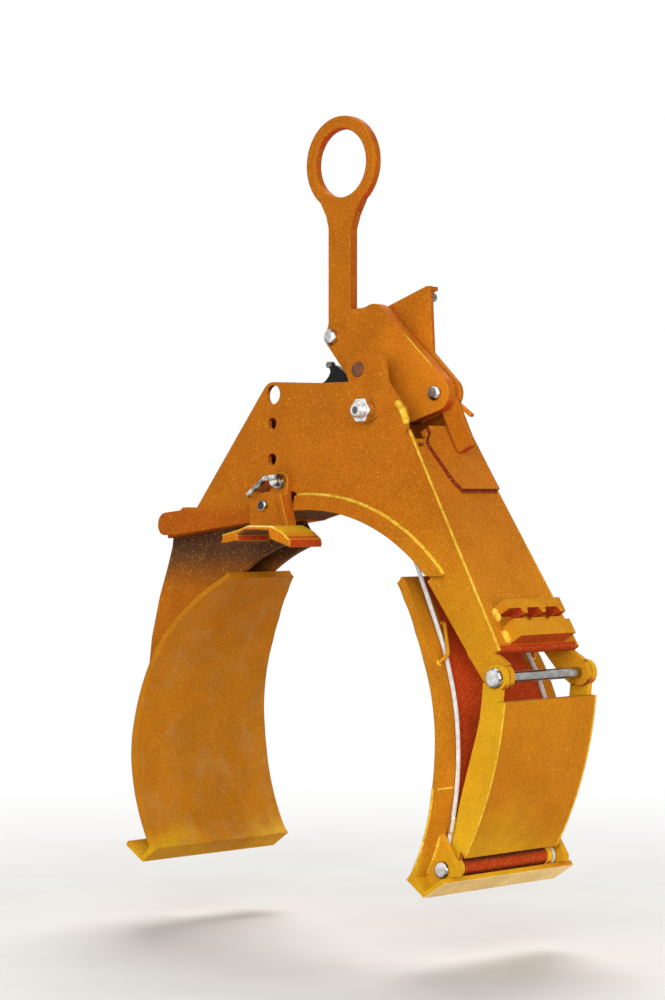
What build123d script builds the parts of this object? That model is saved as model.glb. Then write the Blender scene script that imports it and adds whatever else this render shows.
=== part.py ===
import os
from math import cos, hypot, radians, sin, tan

from build123d import *

os.makedirs("parts", exist_ok=True)

# Driving sizes, in millimetres. The origin is the centre of the lifting eye.
# Profiles are drawn from the gripping axis: x to the right, z up.
grip_drop = 799.0
pipe_r = 275.0

# Points within fade_from of the gripping axis keep their distance from the gripped surface,
# points beyond fade_to keep their distance from the lever.
drawn_pipe_r = 275.0
fade_from = 360.0
fade_to = 460.0


def g(point):
    """Profile point moved out with the gripping radius, less and less above the arch."""
    x, z = point
    reach = hypot(x, z)
    share = min(1.0, max(0.0, (fade_to - reach) / (fade_to - fade_from)))
    stretch = 1 + share * (pipe_r - drawn_pipe_r) / reach
    return (x * stretch, z * stretch)


def grown(points):
    return [g(point) for point in points]


# Fits and plate thicknesses
press = 0.02
running = 0.05
side_gap = 1.0
frame_t = 8.0
lever_t = 14.0
cheek_t = 8.0
cover_t = 8.0
jaw_t = 10.0

# Lifting eye and lever
eye_hole_r = 46.5
eye_ring_r = 65.0
eye_round = 3.5
lever_half = lever_t / 2
rear_lever_y = 20.0
rear_lever_t = 6.0
pivot = (75.0, 513.0)
pivot_r = 10.0
left_bolt = (-14.4, 561.7)
left_bolt_r = 7.0
pawl_pin_at = (173.6, 480.5)
pawl_pin_r = 8.0
nose_r = 24.0
rope_pin_at = g((45.0, 470.0))
rope_pin_r = 6.0

# Frame: two plates that lean apart towards the claw pin
arch_gap = 50.0
arch_r = pipe_r + arch_gap
rim_w = 20.0
rim_t = 6.0
strip_t = 8.0
claw_pin_at = g((350.0, 114.0))
claw_pin_r = 7.0
arm_end_r = 17.0
arm_half = 81.8
flare = 0.0777
main_bolt_at = g((99.0, 457.7))
main_bolt_r = 10.0
boss_r = 17.0
boss_out = 3.0
cover_top = g((172.0, 432.0))
cover_end = g((347.0, 147.0))
lock_pin_at = g((-50.0, 364.0))
lock_pin_r = 7.0

# Claw and shoe
claw_gap = 1.2
cheek_in = 84.6
jaw_pin_at = g((279.0, -132.0))
jaw_pin_r = 7.0
tube_r = 11.5
jaw_lining = 3.0
shoe_r = pipe_r + jaw_lining
jaw_out = shoe_r + jaw_t
shoe_low_deg = -29.8
shoe_top_deg = 55.6
lip_half = 130.5
lug_in = 103.0
lug_t = 9.0

# Ropes
rope_r = 3.0
rope_y = 97.5


def front_plane(y):
    """Drawing plane seen from the front at depth y, with the gripping axis at its origin."""
    return Plane(origin=(0, y, -grip_drop), x_dir=(1, 0, 0), z_dir=(0, -1, 0))


side_plane = Plane(origin=(0, 0, -grip_drop), x_dir=(0, 1, 0), z_dir=(1, 0, 0))


def at(x, y, z):
    """Point given from the gripping axis."""
    return (x, y, z - grip_drop)


def half_width(z):
    """Half the width over the two frame plates at height z."""
    return arm_half + flare * (claw_pin_at[1] - z)


def leaning_slab(side, outside, inside):
    """Outline, across the frame, of a layer along one leaning plate."""
    high = 640.0
    low = -260.0
    return [
        (side * (half_width(high) + outside), high),
        (side * (half_width(low) + outside), low),
        (side * (half_width(low) - inside), low),
        (side * (half_width(high) - inside), high),
    ]


def between_plates(inset):
    """Outline, across the frame, of the space between the plates, inset from their outer faces."""
    high = 640.0
    low = -260.0
    return [
        (-(half_width(high) - inset), high),
        (-(half_width(low) - inset), low),
        (half_width(low) - inset, low),
        (half_width(high) - inset, high),
    ]


def polar(radius, angle):
    return (radius * cos(radians(angle)), radius * sin(radians(angle)))


cover_len = hypot(cover_end[0] - cover_top[0], cover_end[1] - cover_top[1])
along = ((cover_end[0] - cover_top[0]) / cover_len, (cover_end[1] - cover_top[1]) / cover_len)
outward = (-along[1], along[0])


def on_cover(s, lift):
    """Point on the arm cover: s down its slope from the top, lift out of its outer face."""
    x = cover_top[0] + along[0] * s + outward[0] * lift
    z = cover_top[1] + along[1] * s + outward[1] * lift
    return (x, z)


def cover_plane(s):
    """Drawing plane on the arm cover: x along the pins, y up the slope."""
    x, z = on_cover(s, 0)
    return Plane(origin=at(x, 0, z), x_dir=(0, 1, 0), z_dir=(outward[0], 0, outward[1]))


# Lever plate with shank and lifting eye
eye_mid = (eye_hole_r + eye_ring_r) / 2
eye_w = eye_ring_r - eye_hole_r
lever_outline = [
    (-44, 760), (-35, 744), (-25.5, 727), (-21.3, 711), (-21.3, 580), (-27.3, 563), (-25.4, 553),
    (22.3, 497.7), (33, 478), (45, 470), (60, 477), (75, 482), (97, 486), (113, 468), (126, 441.5),
    (182.5, 458.2), (189.8, 498.3), (82, 595.3), (76, 600), (69, 603), (62, 604), (55, 603),
    (48, 600.2), (40, 599), (19.3, 598.5), (19.3, 708), (26, 727), (36, 744), (44, 760),
]
with BuildPart() as lever_plate:
    with BuildSketch(Plane.XY):
        with Locations((eye_mid, 0)):
            RectangleRounded(eye_w, lever_t, eye_round)
    revolve(axis=Axis.Y)
    with BuildSketch(front_plane(-lever_half)):
        with BuildLine():
            Polyline(*grown(lever_outline), close=True)
        make_face()
        with Locations(left_bolt):
            Circle(13)
        with Locations(pawl_pin_at):
            Circle(nose_r)
        with Locations(rope_pin_at):
            Circle(14)
        with Locations((0, grip_drop)):
            Circle(eye_mid, mode=Mode.SUBTRACT)
        with Locations(left_bolt):
            Circle(left_bolt_r + press, mode=Mode.SUBTRACT)
        with Locations(pawl_pin_at):
            Circle(pawl_pin_r + press, mode=Mode.SUBTRACT)
        with Locations(rope_pin_at):
            Circle(rope_pin_r + press, mode=Mode.SUBTRACT)
        with Locations(pivot):
            Circle(pivot_r + running, mode=Mode.SUBTRACT)
    extrude(amount=-lever_t)
lever_plate.part.label = "lever_plate"
export_step(lever_plate.part, "parts/lever_plate.step")

# Rear lever plate with its trigger arm
rear_nose_r = 21.0
rear_outline = [
    (46, 540), (46, 592), (53.6, 598), (134, 625.5), (139, 625.5), (140.5, 618), (145, 536), (189, 495),
    (180.5, 460.7), (126, 441.5), (113, 468), (97, 486), (72, 482), (54, 495),
]
with BuildPart() as lever_rear_plate:
    with BuildSketch(front_plane(rear_lever_y)):
        with BuildLine():
            Polyline(*grown(rear_outline), close=True)
        make_face()
        with Locations(pawl_pin_at):
            Circle(rear_nose_r)
        with Locations(pawl_pin_at):
            Circle(pawl_pin_r + press, mode=Mode.SUBTRACT)
        with Locations(pivot):
            Circle(pivot_r + running, mode=Mode.SUBTRACT)
    extrude(amount=-rear_lever_t)
lever_rear_plate.part.label = "lever_rear_plate"
export_step(lever_rear_plate.part, "parts/lever_rear_plate.step")

# Spacer between the two lever plates
with BuildPart() as lever_spacer:
    with BuildSketch(front_plane(lever_half)):
        with Locations((108, 548)):
            Circle(13)
    extrude(amount=-(rear_lever_y - lever_half))
lever_spacer.part.label = "lever_spacer"
export_step(lever_spacer.part, "parts/lever_spacer.step")

# Left lever bolt: domed head in front, nut behind
with BuildPart() as lever_bolt:
    with BuildSketch(front_plane(-lever_half)):
        with Locations(left_bolt):
            Circle(11)
    extrude(amount=9)
    fillet(lever_bolt.part.edges().group_by(Axis.Y)[0], 6)
    with BuildSketch(front_plane(-lever_half)):
        with Locations(left_bolt):
            Circle(left_bolt_r)
    extrude(amount=-(lever_t + 7))
    with BuildSketch(front_plane(lever_half)):
        with Locations(left_bolt):
            RegularPolygon(11, 6)
    extrude(amount=-6)
lever_bolt.part.label = "lever_bolt"
export_step(lever_bolt.part, "parts/lever_bolt.step")

# Pawl pin through both lever plates
rear_lever_back = rear_lever_y + rear_lever_t
with BuildPart() as pawl_pin:
    with BuildSketch(front_plane(-lever_half)):
        with Locations(pawl_pin_at):
            Circle(10)
    extrude(amount=6)
    fillet(pawl_pin.part.edges().group_by(Axis.Y)[0], 4)
    with BuildSketch(front_plane(-lever_half)):
        with Locations(pawl_pin_at):
            Circle(pawl_pin_r)
    extrude(amount=-(rear_lever_back + lever_half))
    with BuildSketch(front_plane(rear_lever_back)):
        with Locations(pawl_pin_at):
            Circle(11)
    extrude(amount=-4.5)
pawl_pin.part.label = "pawl_pin"
export_step(pawl_pin.part, "parts/pawl_pin.step")

# Folded lip and pin on the back of the trigger arm
lip_depth = 14.0
trigger_lip_outline = [(108, 614.5), (134, 625.5), (137, 625.2), (137, 619.5), (134, 619.5), (110, 610.8)]
with BuildPart() as trigger_lip:
    with BuildSketch(front_plane(rear_lever_back)):
        with BuildLine():
            Polyline(*grown(trigger_lip_outline), close=True)
        make_face()
    extrude(amount=-lip_depth)
trigger_lip.part.label = "trigger_lip"
export_step(trigger_lip.part, "parts/trigger_lip.step")

trigger_at = (130.5, 611.0)
trigger_r = 6.5
with BuildPart() as trigger_pin:
    with BuildSketch(front_plane(rear_lever_back)):
        with Locations(trigger_at):
            Circle(trigger_r)
    extrude(amount=-lip_depth)
    fillet(trigger_pin.part.edges().group_by(Axis.Y)[-1], 2)
trigger_pin.part.label = "trigger_pin"
export_step(trigger_pin.part, "parts/trigger_pin.step")

# Trip tab on the rear nose
tab_outline = [(176, 471), (211, 448.5), (213.5, 452), (180, 475)]
with BuildPart() as trip_tab:
    with BuildSketch(front_plane(rear_lever_y)):
        with BuildLine():
            Polyline(*grown(tab_outline), close=True)
        make_face()
        with Locations(pawl_pin_at):
            Circle(rear_nose_r, mode=Mode.SUBTRACT)
    extrude(amount=-rear_lever_t)
trip_tab.part.label = "trip_tab"
export_step(trip_tab.part, "parts/trip_tab.step")

# Rope pin low on the lever plate
rope_pin_y = lever_half + 0.5 + rope_r
rope_pin_end = lever_half + 9.5
with BuildPart() as rope_pin:
    with BuildSketch(front_plane(-rope_pin_end)):
        with Locations(rope_pin_at):
            Circle(rope_pin_r)
    extrude(amount=-(rope_pin_end + lever_half + 7.2))
    with BuildSketch(front_plane(-rope_pin_end)):
        with Locations(rope_pin_at):
            Circle(10)
    extrude(amount=3)
rope_pin.part.label = "rope_pin"
export_step(rope_pin.part, "parts/rope_pin.step")

# Frame plates
inner_top = on_cover(0, -cover_t)
inner_end = on_cover(cover_len, -cover_t)
frame_outline = [
    (-100.3, 492.5), (-97, 496.1), (-92.9, 498.7), (-88.3, 500.3), (-83.4, 500.7), (7, 497), (59, 497), (53.5, 507), (53, 514), (56, 524), (62, 531), (70, 535), (84, 536),
    (114, 531), (119, 524), (126, 495), (145.5, 474.6), (160, 461), (165, 447),
]
arm_outline = [
    (360, 131), (350, 114), (339, 97), (321.2, 108.6), (290, 144), (200, 150), (-60, 260), (-100, 309.5),
    (-262, 288.6), (-299, 288), (-299, 319), (-256, 323.5), (-249, 328), (-221, 328),
]
plate_outline = grown(frame_outline) + [inner_top, inner_end] + grown(arm_outline)
arm_inside = grown([(217.5, 233), (321.2, 108.6), (330, 125), (270, 215), (232, 243)])
hand_hole = g((-83.0, 483.0))
row_holes = grown([(-82.0, 443.0), (-78.5, 394.0), (-35.0, 342.0)])
with BuildPart() as frame_plate_front:
    with BuildSketch(side_plane):
        with BuildLine():
            Polyline(*leaning_slab(-1, 0, frame_t), close=True)
        make_face()
    extrude(amount=420, both=True)
    with BuildSketch(front_plane(0)) as front_shape:
        with BuildLine():
            Polyline(*plate_outline, close=True)
        make_face()
        fillet(front_shape.vertices().group_by(Axis.X)[0], 15)
        with Locations(claw_pin_at):
            Circle(arm_end_r)
        Circle(arch_r, mode=Mode.SUBTRACT)
        with BuildLine():
            Polyline(*arm_inside, close=True)
        make_face()
        with Locations(hand_hole):
            Circle(13.5, mode=Mode.SUBTRACT)
        with Locations(*row_holes):
            Circle(8.5, mode=Mode.SUBTRACT)
        with Locations(lock_pin_at):
            Circle(lock_pin_r + running, mode=Mode.SUBTRACT)
    extrude(amount=200, both=True, mode=Mode.INTERSECT)
    with BuildSketch(front_plane(-half_width(main_bolt_at[1]) - boss_out)):
        with Locations(main_bolt_at):
            Circle(boss_r)
    extrude(amount=-(boss_out + frame_t / 2))
    with BuildSketch(front_plane(0)):
        with Locations(main_bolt_at):
            Circle(main_bolt_r + press)
        with Locations(pivot):
            Circle(pivot_r + press)
        with Locations(claw_pin_at):
            Circle(claw_pin_r + running)
    extrude(amount=200, both=True, mode=Mode.SUBTRACT)
frame_plate_front.part.label = "frame_plate_front"
export_step(frame_plate_front.part, "parts/frame_plate_front.step")

with BuildPart() as frame_plate_rear:
    with BuildSketch(side_plane):
        with BuildLine():
            Polyline(*leaning_slab(1, 0, frame_t), close=True)
        make_face()
    extrude(amount=420, both=True)
    with BuildSketch(front_plane(0)) as rear_shape:
        with BuildLine():
            Polyline(*plate_outline, close=True)
        make_face()
        fillet(rear_shape.vertices().group_by(Axis.X)[0], 15)
        with Locations(claw_pin_at):
            Circle(arm_end_r)
        Circle(arch_r, mode=Mode.SUBTRACT)
        with BuildLine():
            Polyline(*arm_inside, close=True)
        make_face()
        with Locations(hand_hole):
            Circle(13.5, mode=Mode.SUBTRACT)
    extrude(amount=200, both=True, mode=Mode.INTERSECT)
    with BuildSketch(front_plane(half_width(main_bolt_at[1]) + boss_out)):
        with Locations(main_bolt_at):
            Circle(boss_r)
    extrude(amount=boss_out + frame_t / 2)
    with BuildSketch(front_plane(0)):
        with Locations(main_bolt_at):
            Circle(main_bolt_r + press)
        with Locations(pivot):
            Circle(pivot_r + press)
        with Locations(claw_pin_at):
            Circle(claw_pin_r + running)
    extrude(amount=200, both=True, mode=Mode.SUBTRACT)
frame_plate_rear.part.label = "frame_plate_rear"
export_step(frame_plate_rear.part, "parts/frame_plate_rear.step")

# Raised rims along the arch, one on each plate
rim_low_z = 240.0
rim_left_x = -26.0
with BuildPart() as arch_rim_front:
    with BuildSketch(side_plane):
        with BuildLine():
            Polyline(*leaning_slab(-1, rim_t, 0), close=True)
        make_face()
    extrude(amount=420, both=True)
    with BuildSketch(front_plane(0)):
        Circle(arch_r + rim_w)
        Circle(arch_r, mode=Mode.SUBTRACT)
        with Locations(((rim_left_x + 400) / 2, (rim_low_z + 400) / 2)):
            Rectangle(400 - rim_left_x, 400 - rim_low_z, mode=Mode.INTERSECT)
    extrude(amount=200, both=True, mode=Mode.INTERSECT)
arch_rim_front.part.label = "arch_rim_front"
export_step(arch_rim_front.part, "parts/arch_rim_front.step")

with BuildPart() as arch_rim_rear:
    mirror(arch_rim_front.part, about=Plane.XZ)
arch_rim_rear.part.label = "arch_rim_rear"
export_step(arch_rim_rear.part, "parts/arch_rim_rear.step")

# Arch strip between the plates
strip_low_deg = 66.0
strip_high_deg = 106.5
with BuildPart() as arch_strip:
    with BuildSketch(side_plane):
        with BuildLine():
            Polyline(*between_plates(frame_t), close=True)
        make_face()
    extrude(amount=420, both=True)
    with BuildSketch(front_plane(0)):
        Circle(arch_r + strip_t)
        Circle(arch_r, mode=Mode.SUBTRACT)
        with BuildLine():
            Polyline((0, 0), polar(2 * arch_r, strip_low_deg), (0, 2 * arch_r),
                     polar(2 * arch_r, strip_high_deg), close=True)
        make_face(mode=Mode.INTERSECT)
    extrude(amount=200, both=True, mode=Mode.INTERSECT)
arch_strip.part.label = "arch_strip"
export_step(arch_strip.part, "parts/arch_strip.step")

# Floor of the left arm, which carries the left jaw
floor_t = 10.0
floor_corner = 18.0
floor_low = [(-304, 283.4), (-102, 309.3)]
floor_outline = floor_low + [(-102, 309.3 + floor_t), (-304, 283.4 + floor_t)]
with BuildPart() as left_floor:
    with BuildSketch(side_plane):
        with BuildLine():
            Polyline(*between_plates(frame_t), close=True)
        make_face()
    extrude(amount=420, both=True)
    with BuildSketch(front_plane(0)):
        with BuildLine():
            Polyline(*grown(floor_outline), close=True)
        make_face()
        Circle(arch_r + 0.01, mode=Mode.SUBTRACT)
    extrude(amount=200, both=True, mode=Mode.INTERSECT)
    floor_end = left_floor.part.faces().sort_by(Axis.X)[0].edges().sort_by(Axis.Y)
    chamfer([floor_end[0], floor_end[-1]], floor_corner)
left_floor.part.label = "left_floor"
export_step(left_floor.part, "parts/left_floor.step")

# Web between the plates under the left slope
web_outline = [(-219, 328), (-120, 463), (-112, 458), (-209, 326), (-209, 300), (-219, 300)]
under_web = grown(floor_outline[2:]) + [(-312, 0), (-102, 0)]
with BuildPart() as left_web:
    with BuildSketch(side_plane):
        with BuildLine():
            Polyline(*between_plates(frame_t), close=True)
        make_face()
    extrude(amount=420, both=True)
    with BuildSketch(front_plane(0)):
        with BuildLine():
            Polyline(*grown(web_outline), close=True)
        make_face()
        with BuildLine():
            Polyline(*under_web, close=True)
        make_face(mode=Mode.SUBTRACT)
    extrude(amount=200, both=True, mode=Mode.INTERSECT)
left_web.part.label = "left_web"
export_step(left_web.part, "parts/left_web.step")

# Cover along the outside of the arm, with a window near its top
with BuildPart() as arm_cover:
    with BuildSketch(side_plane):
        with BuildLine():
            Polyline(*between_plates(0), close=True)
        make_face()
    extrude(amount=420, both=True)
    with BuildSketch(front_plane(0)):
        with BuildLine():
            Polyline(on_cover(0, 0), on_cover(cover_len, 0), on_cover(cover_len, -cover_t),
                     on_cover(0, -cover_t), close=True)
        make_face()
    extrude(amount=200, both=True, mode=Mode.INTERSECT)
    with BuildSketch(cover_plane(0)):
        with Locations((-40, -4)):
            Rectangle(26, 22)
        with Locations((-46, -24)):
            SlotOverall(15, 6)
    extrude(amount=20, both=True, mode=Mode.SUBTRACT)
arm_cover.part.label = "arm_cover"
export_step(arm_cover.part, "parts/arm_cover.step")

# Raised flap on the cover
flap_t = 6.0
flap_end = 96.0
with BuildPart() as cover_flap:
    with BuildSketch(cover_plane(0)) as flap_shape:
        with BuildLine():
            Polyline((-24, 2), (-24, -8), (-37, -22), (-37, -30), (-22, -82), (-12, -flap_end),
                     (62, -flap_end), (57, 2), close=True)
        make_face()
    extrude(amount=flap_t)
cover_flap.part.label = "cover_flap"
export_step(cover_flap.part, "parts/cover_flap.step")

# Toothed step bars across the lower end of the cover; their toothed edges face each other
bar_half = 55.0
bar_h = 21.0
bar_t = 23.0
tooth_pitch = 36.5
tooth_share = 0.34
tooth_h = 8.0
bar_gap = 3.0
upper_at = 272.0
lower_at = upper_at + bar_h + tooth_h + bar_gap


def toothed_edge(half, level, rise):
    """Edge points from the left end to the right end of a bar: flats at level, teeth that reach rise beyond it."""
    count = int(2 * half / tooth_pitch) + 1
    slope = tooth_pitch * 0.1
    points = [(-half, level)]
    for i in range(count):
        start = -half + tooth_pitch * (i + 1 - tooth_share)
        stop = start + tooth_pitch * tooth_share
        for x, y in [(start, level), (start + slope, rise), (stop - slope, rise), (stop, level)]:
            if x < half - 1:
                points = points + [(x, y)]
    return points + [(half, points[-1][1])]


with BuildPart() as step_bar_upper:
    with BuildSketch(cover_plane(upper_at)):
        with BuildLine():
            Polyline((-bar_half, 0), *toothed_edge(bar_half, -bar_h + tooth_h, -bar_h), (bar_half, 0), close=True)
        make_face()
    extrude(amount=bar_t)
step_bar_upper.part.label = "step_bar_upper"
export_step(step_bar_upper.part, "parts/step_bar_upper.step")

with BuildPart() as step_bar_lower:
    with BuildSketch(cover_plane(lower_at)):
        with BuildLine():
            Polyline((-bar_half, -bar_h), *toothed_edge(bar_half, tooth_h / 2, 0), (bar_half, -bar_h), close=True)
        make_face()
    extrude(amount=bar_t)
step_bar_lower.part.label = "step_bar_lower"
export_step(step_bar_lower.part, "parts/step_bar_lower.step")

# Lever pivot pin, fast in both plates
pivot_end = half_width(pivot[1]) + 3.5
with BuildPart() as pivot_pin:
    with BuildSketch(front_plane(-pivot_end)):
        with Locations(pivot):
            Circle(pivot_r)
    extrude(amount=-2 * pivot_end)
    chamfer(pivot_pin.part.edges().group_by(Axis.Y)[0], 1.5)
    chamfer(pivot_pin.part.edges().group_by(Axis.Y)[-1], 1.5)
pivot_pin.part.label = "pivot_pin"
export_step(pivot_pin.part, "parts/pivot_pin.step")

# Main tie bolt, with its nut on the front boss
boss_y = half_width(main_bolt_at[1]) + boss_out
nut_t = 16.0
nut_r = 17.3
with BuildPart() as main_bolt:
    with BuildSketch(front_plane(-boss_y - nut_t - 9)):
        with Locations(main_bolt_at):
            Circle(main_bolt_r)
    extrude(amount=-(2 * boss_y + nut_t + 9))
    chamfer(main_bolt.part.edges().group_by(Axis.Y)[0], 1.8)
    with BuildSketch(front_plane(boss_y)):
        with Locations(main_bolt_at):
            RegularPolygon(nut_r, 6)
    extrude(amount=-12.5)
main_bolt.part.label = "main_bolt"
export_step(main_bolt.part, "parts/main_bolt.step")

with BuildPart() as main_nut:
    with BuildSketch(front_plane(-boss_y)):
        with Locations(main_bolt_at):
            RegularPolygon(nut_r, 6)
            Circle(main_bolt_r + press, mode=Mode.SUBTRACT)
    extrude(amount=nut_t)
main_nut.part.label = "main_nut"
export_step(main_nut.part, "parts/main_nut.step")

# Fixed left jaw: two ribs under the left floor, a cover outside and a curved plate inside
rib_in = 25.0
rib_t = 8.0
rib_path = [
    (-298.5, 284.0), (-299, 272), (-308, 246), (-326, 200), (-342, 140), (-351, 70), (-350, 0),
    (-338, -60), (-315, -112), (-299, -134),
]
rib_foot = [(-293, -141), (-264, -159), (-251, -147)]
rib_end = [polar(jaw_out, 180 - shoe_low_deg), polar(shoe_r - 20, 180 - shoe_low_deg), (-120, 0), (-60, 250)]
rib_outline = grown([floor_low[1]] + rib_path + rib_foot) + rib_end
with BuildPart() as left_rib_front:
    with BuildSketch(front_plane(-rib_in - rib_t)):
        with BuildLine():
            Polyline(*rib_outline, close=True)
        make_face()
        Circle(jaw_out, mode=Mode.SUBTRACT)
    extrude(amount=-rib_t)
left_rib_front.part.label = "left_rib_front"
export_step(left_rib_front.part, "parts/left_rib_front.step")

with BuildPart() as left_rib_rear:
    mirror(left_rib_front.part, about=Plane.XZ)
left_rib_rear.part.label = "left_rib_rear"
export_step(left_rib_rear.part, "parts/left_rib_rear.step")

jaw_cover_path = [
    (-303.5, 283.4), (-305, 271), (-314, 244), (-332, 198), (-348.5, 139), (-358, 70), (-357, -1),
    (-344.5, -63), (-321.5, -116), (-305, -139),
]
jaw_cover_outline = jaw_cover_path + rib_path[::-1]
with BuildPart() as left_jaw_cover:
    with BuildSketch(front_plane(-rib_in - rib_t)):
        with BuildLine():
            Polyline(*grown(jaw_cover_outline), close=True)
        make_face()
    extrude(amount=-2 * (rib_in + rib_t))
left_jaw_cover.part.label = "left_jaw_cover"
export_step(left_jaw_cover.part, "parts/left_jaw_cover.step")

# Grip plate outline seen from the side: half width against angle round the gripping axis
shoe_half = [
    (62, 56.6), (81, 48.4), (101, 37.0), (110.6, 28.4), (115, 21.6), (119.5, 14.6), (124, 7.0), (127.5, 1.4),
    (130, -4.7), (131, -15.7), (131, -33.0),
]
shoe_edge = [(y, shoe_r * sin(radians(turn))) for y, turn in shoe_half]
shoe_front_edge = [(-y, z) for y, z in shoe_edge]
shoe_side = [(-62, jaw_out)] + shoe_front_edge + shoe_edge[::-1] + [(62, jaw_out)]
lip_path = [(233, -147), (263.5, -168), (297, -147.5), (293, -141), (264, -159), (251, -147)]
lip_outline = [polar(jaw_out, shoe_low_deg), polar(shoe_r, shoe_low_deg)] + grown(lip_path)

# Right shoe: grip plate with its bent lip
with BuildPart() as shoe_plate:
    with BuildSketch(front_plane(0)):
        Circle(jaw_out)
        Circle(shoe_r, mode=Mode.SUBTRACT)
        with BuildLine():
            Polyline((0, 0), polar(2 * shoe_r, shoe_low_deg), (2 * shoe_r, 0),
                     polar(2 * shoe_r, shoe_top_deg), close=True)
        make_face(mode=Mode.INTERSECT)
    extrude(amount=150, both=True)
    with BuildSketch(side_plane):
        with BuildLine():
            Polyline(*shoe_side, close=True)
        make_face()
    extrude(amount=420, both=True, mode=Mode.INTERSECT)
    with BuildSketch(front_plane(0)):
        with BuildLine():
            Polyline(*lip_outline, close=True)
        make_face()
    extrude(amount=lip_half, both=True)
shoe_plate.part.label = "shoe_plate"
export_step(shoe_plate.part, "parts/shoe_plate.step")

with BuildPart() as left_jaw_plate:
    mirror(shoe_plate.part, about=Plane.YZ)
left_jaw_plate.part.label = "left_jaw_plate"
export_step(left_jaw_plate.part, "parts/left_jaw_plate.step")

# Lugs that carry the shoe on the jaw pin
lug_path = [(264, -72), (271.5, -82), (304.5, -130.5), (304, -139), (293, -141), (264, -159), (251, -147)]
lug_outline = grown(lug_path) + [polar(jaw_out, shoe_low_deg), polar(shoe_r - 20, shoe_low_deg)]
with BuildPart() as shoe_lug_front:
    with BuildSketch(front_plane(-lug_in - lug_t)):
        with BuildLine():
            Polyline(*lug_outline, close=True)
        make_face()
        Circle(jaw_out, mode=Mode.SUBTRACT)
        with Locations(jaw_pin_at):
            Circle(jaw_pin_r + running, mode=Mode.SUBTRACT)
    extrude(amount=-lug_t)
shoe_lug_front.part.label = "shoe_lug_front"
export_step(shoe_lug_front.part, "parts/shoe_lug_front.step")

with BuildPart() as shoe_lug_rear:
    mirror(shoe_lug_front.part, about=Plane.XZ)
shoe_lug_rear.part.label = "shoe_lug_rear"
export_step(shoe_lug_rear.part, "parts/shoe_lug_rear.step")

# Rope keepers: bent rods welded on the back of the grip plate, which hold the ropes down.
# Each corner is given by its radius, its angle round the gripping axis and its depth.
keeper_r = 2.5
keep_out = jaw_out + 11.8
foot_in = jaw_out - 4.0
keeper_corners = [(foot_in, 38.3, -48.5), (keep_out, 36.5, -65.0), (keep_out, 28.0, -85.0), (foot_in, 26.3, -98.5)]
with BuildPart() as rope_keeper_front:
    with BuildLine() as keeper_line:
        FilletPolyline(*[at(polar(r, turn)[0], y, polar(r, turn)[1]) for r, turn, y in keeper_corners], radius=5)
    with BuildSketch(Plane(origin=keeper_line.line @ 0, z_dir=keeper_line.line % 0)):
        Circle(keeper_r)
    sweep()
    with BuildSketch(front_plane(0)):
        Circle(jaw_out)
    extrude(amount=200, both=True, mode=Mode.SUBTRACT)
rope_keeper_front.part.label = "rope_keeper_front"
export_step(rope_keeper_front.part, "parts/rope_keeper_front.step")

with BuildPart() as rope_keeper_rear:
    mirror(rope_keeper_front.part, about=Plane.XZ)
rope_keeper_rear.part.label = "rope_keeper_rear"
export_step(rope_keeper_rear.part, "parts/rope_keeper_rear.step")

# Claw: curved cover between two cheeks
claw_top = g((365.27, 84.0))
claw_mid = g((346.5, -10.0))
claw_low = g((299.0, -118.0))
ax, az = claw_top
bx, bz = claw_mid
cx, cz = claw_low
span = 2 * (ax * (bz - cz) + bx * (cz - az) + cx * (az - bz))
claw_cx = ((ax**2 + az**2) * (bz - cz) + (bx**2 + bz**2) * (cz - az) + (cx**2 + cz**2) * (az - bz)) / span
claw_cz = ((ax**2 + az**2) * (cx - bx) + (bx**2 + bz**2) * (ax - cx) + (cx**2 + cz**2) * (bx - ax)) / span
claw_bend_r = hypot(ax - claw_cx, az - claw_cz)
wedge = 2.0
wedge_top = (claw_cx + wedge * (ax - claw_cx), claw_cz + wedge * (az - claw_cz))
wedge_low = (claw_cx + wedge * (cx - claw_cx), claw_cz + wedge * (cz - claw_cz))
wedge_mid = (claw_cx + wedge * (bx - claw_cx), claw_cz + wedge * (bz - claw_cz))
cheek_out = cheek_in + cheek_t

with BuildPart() as claw_cover:
    with BuildSketch(front_plane(-cheek_out)):
        with Locations((claw_cx, claw_cz)):
            Circle(claw_bend_r)
            Circle(claw_bend_r - cover_t, mode=Mode.SUBTRACT)
        with BuildLine():
            Polyline((claw_cx, claw_cz), wedge_top, wedge_mid, wedge_low, close=True)
        make_face(mode=Mode.INTERSECT)
    extrude(amount=-2 * cheek_out)
claw_cover.part.label = "claw_cover"
export_step(claw_cover.part, "parts/claw_cover.step")

cheek_outline = [
    (329.5, 108), (327.5, 86), (323.5, 60), (318.3, 40.6), (307.8, 8.3), (295.3, -30.8), (287.6, -57),
    (281.6, -80), (274.4, -103), (268.5, -118), (266.5, -127), (268, -140), (288, -142), (315, -114),
    (330, -60), (352, -8), (372, 60), (367, 104),
]
with BuildPart() as claw_cheek_front:
    with BuildSketch(front_plane(-cheek_out)):
        with BuildLine():
            Polyline(*grown(cheek_outline), close=True)
        make_face()
        with Locations((claw_cx, claw_cz)):
            Circle(claw_bend_r - cover_t, mode=Mode.INTERSECT)
        with Locations(claw_pin_at):
            Circle(arm_end_r)
        with Locations(jaw_pin_at):
            Circle(13.5)
        with Locations(claw_pin_at):
            Circle(claw_pin_r + press, mode=Mode.SUBTRACT)
        with Locations(jaw_pin_at):
            Circle(jaw_pin_r + press, mode=Mode.SUBTRACT)
    extrude(amount=-cheek_t)
claw_cheek_front.part.label = "claw_cheek_front"
export_step(claw_cheek_front.part, "parts/claw_cheek_front.step")

with BuildPart() as claw_cheek_rear:
    mirror(claw_cheek_front.part, about=Plane.XZ)
claw_cheek_rear.part.label = "claw_cheek_rear"
export_step(claw_cheek_rear.part, "parts/claw_cheek_rear.step")

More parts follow.
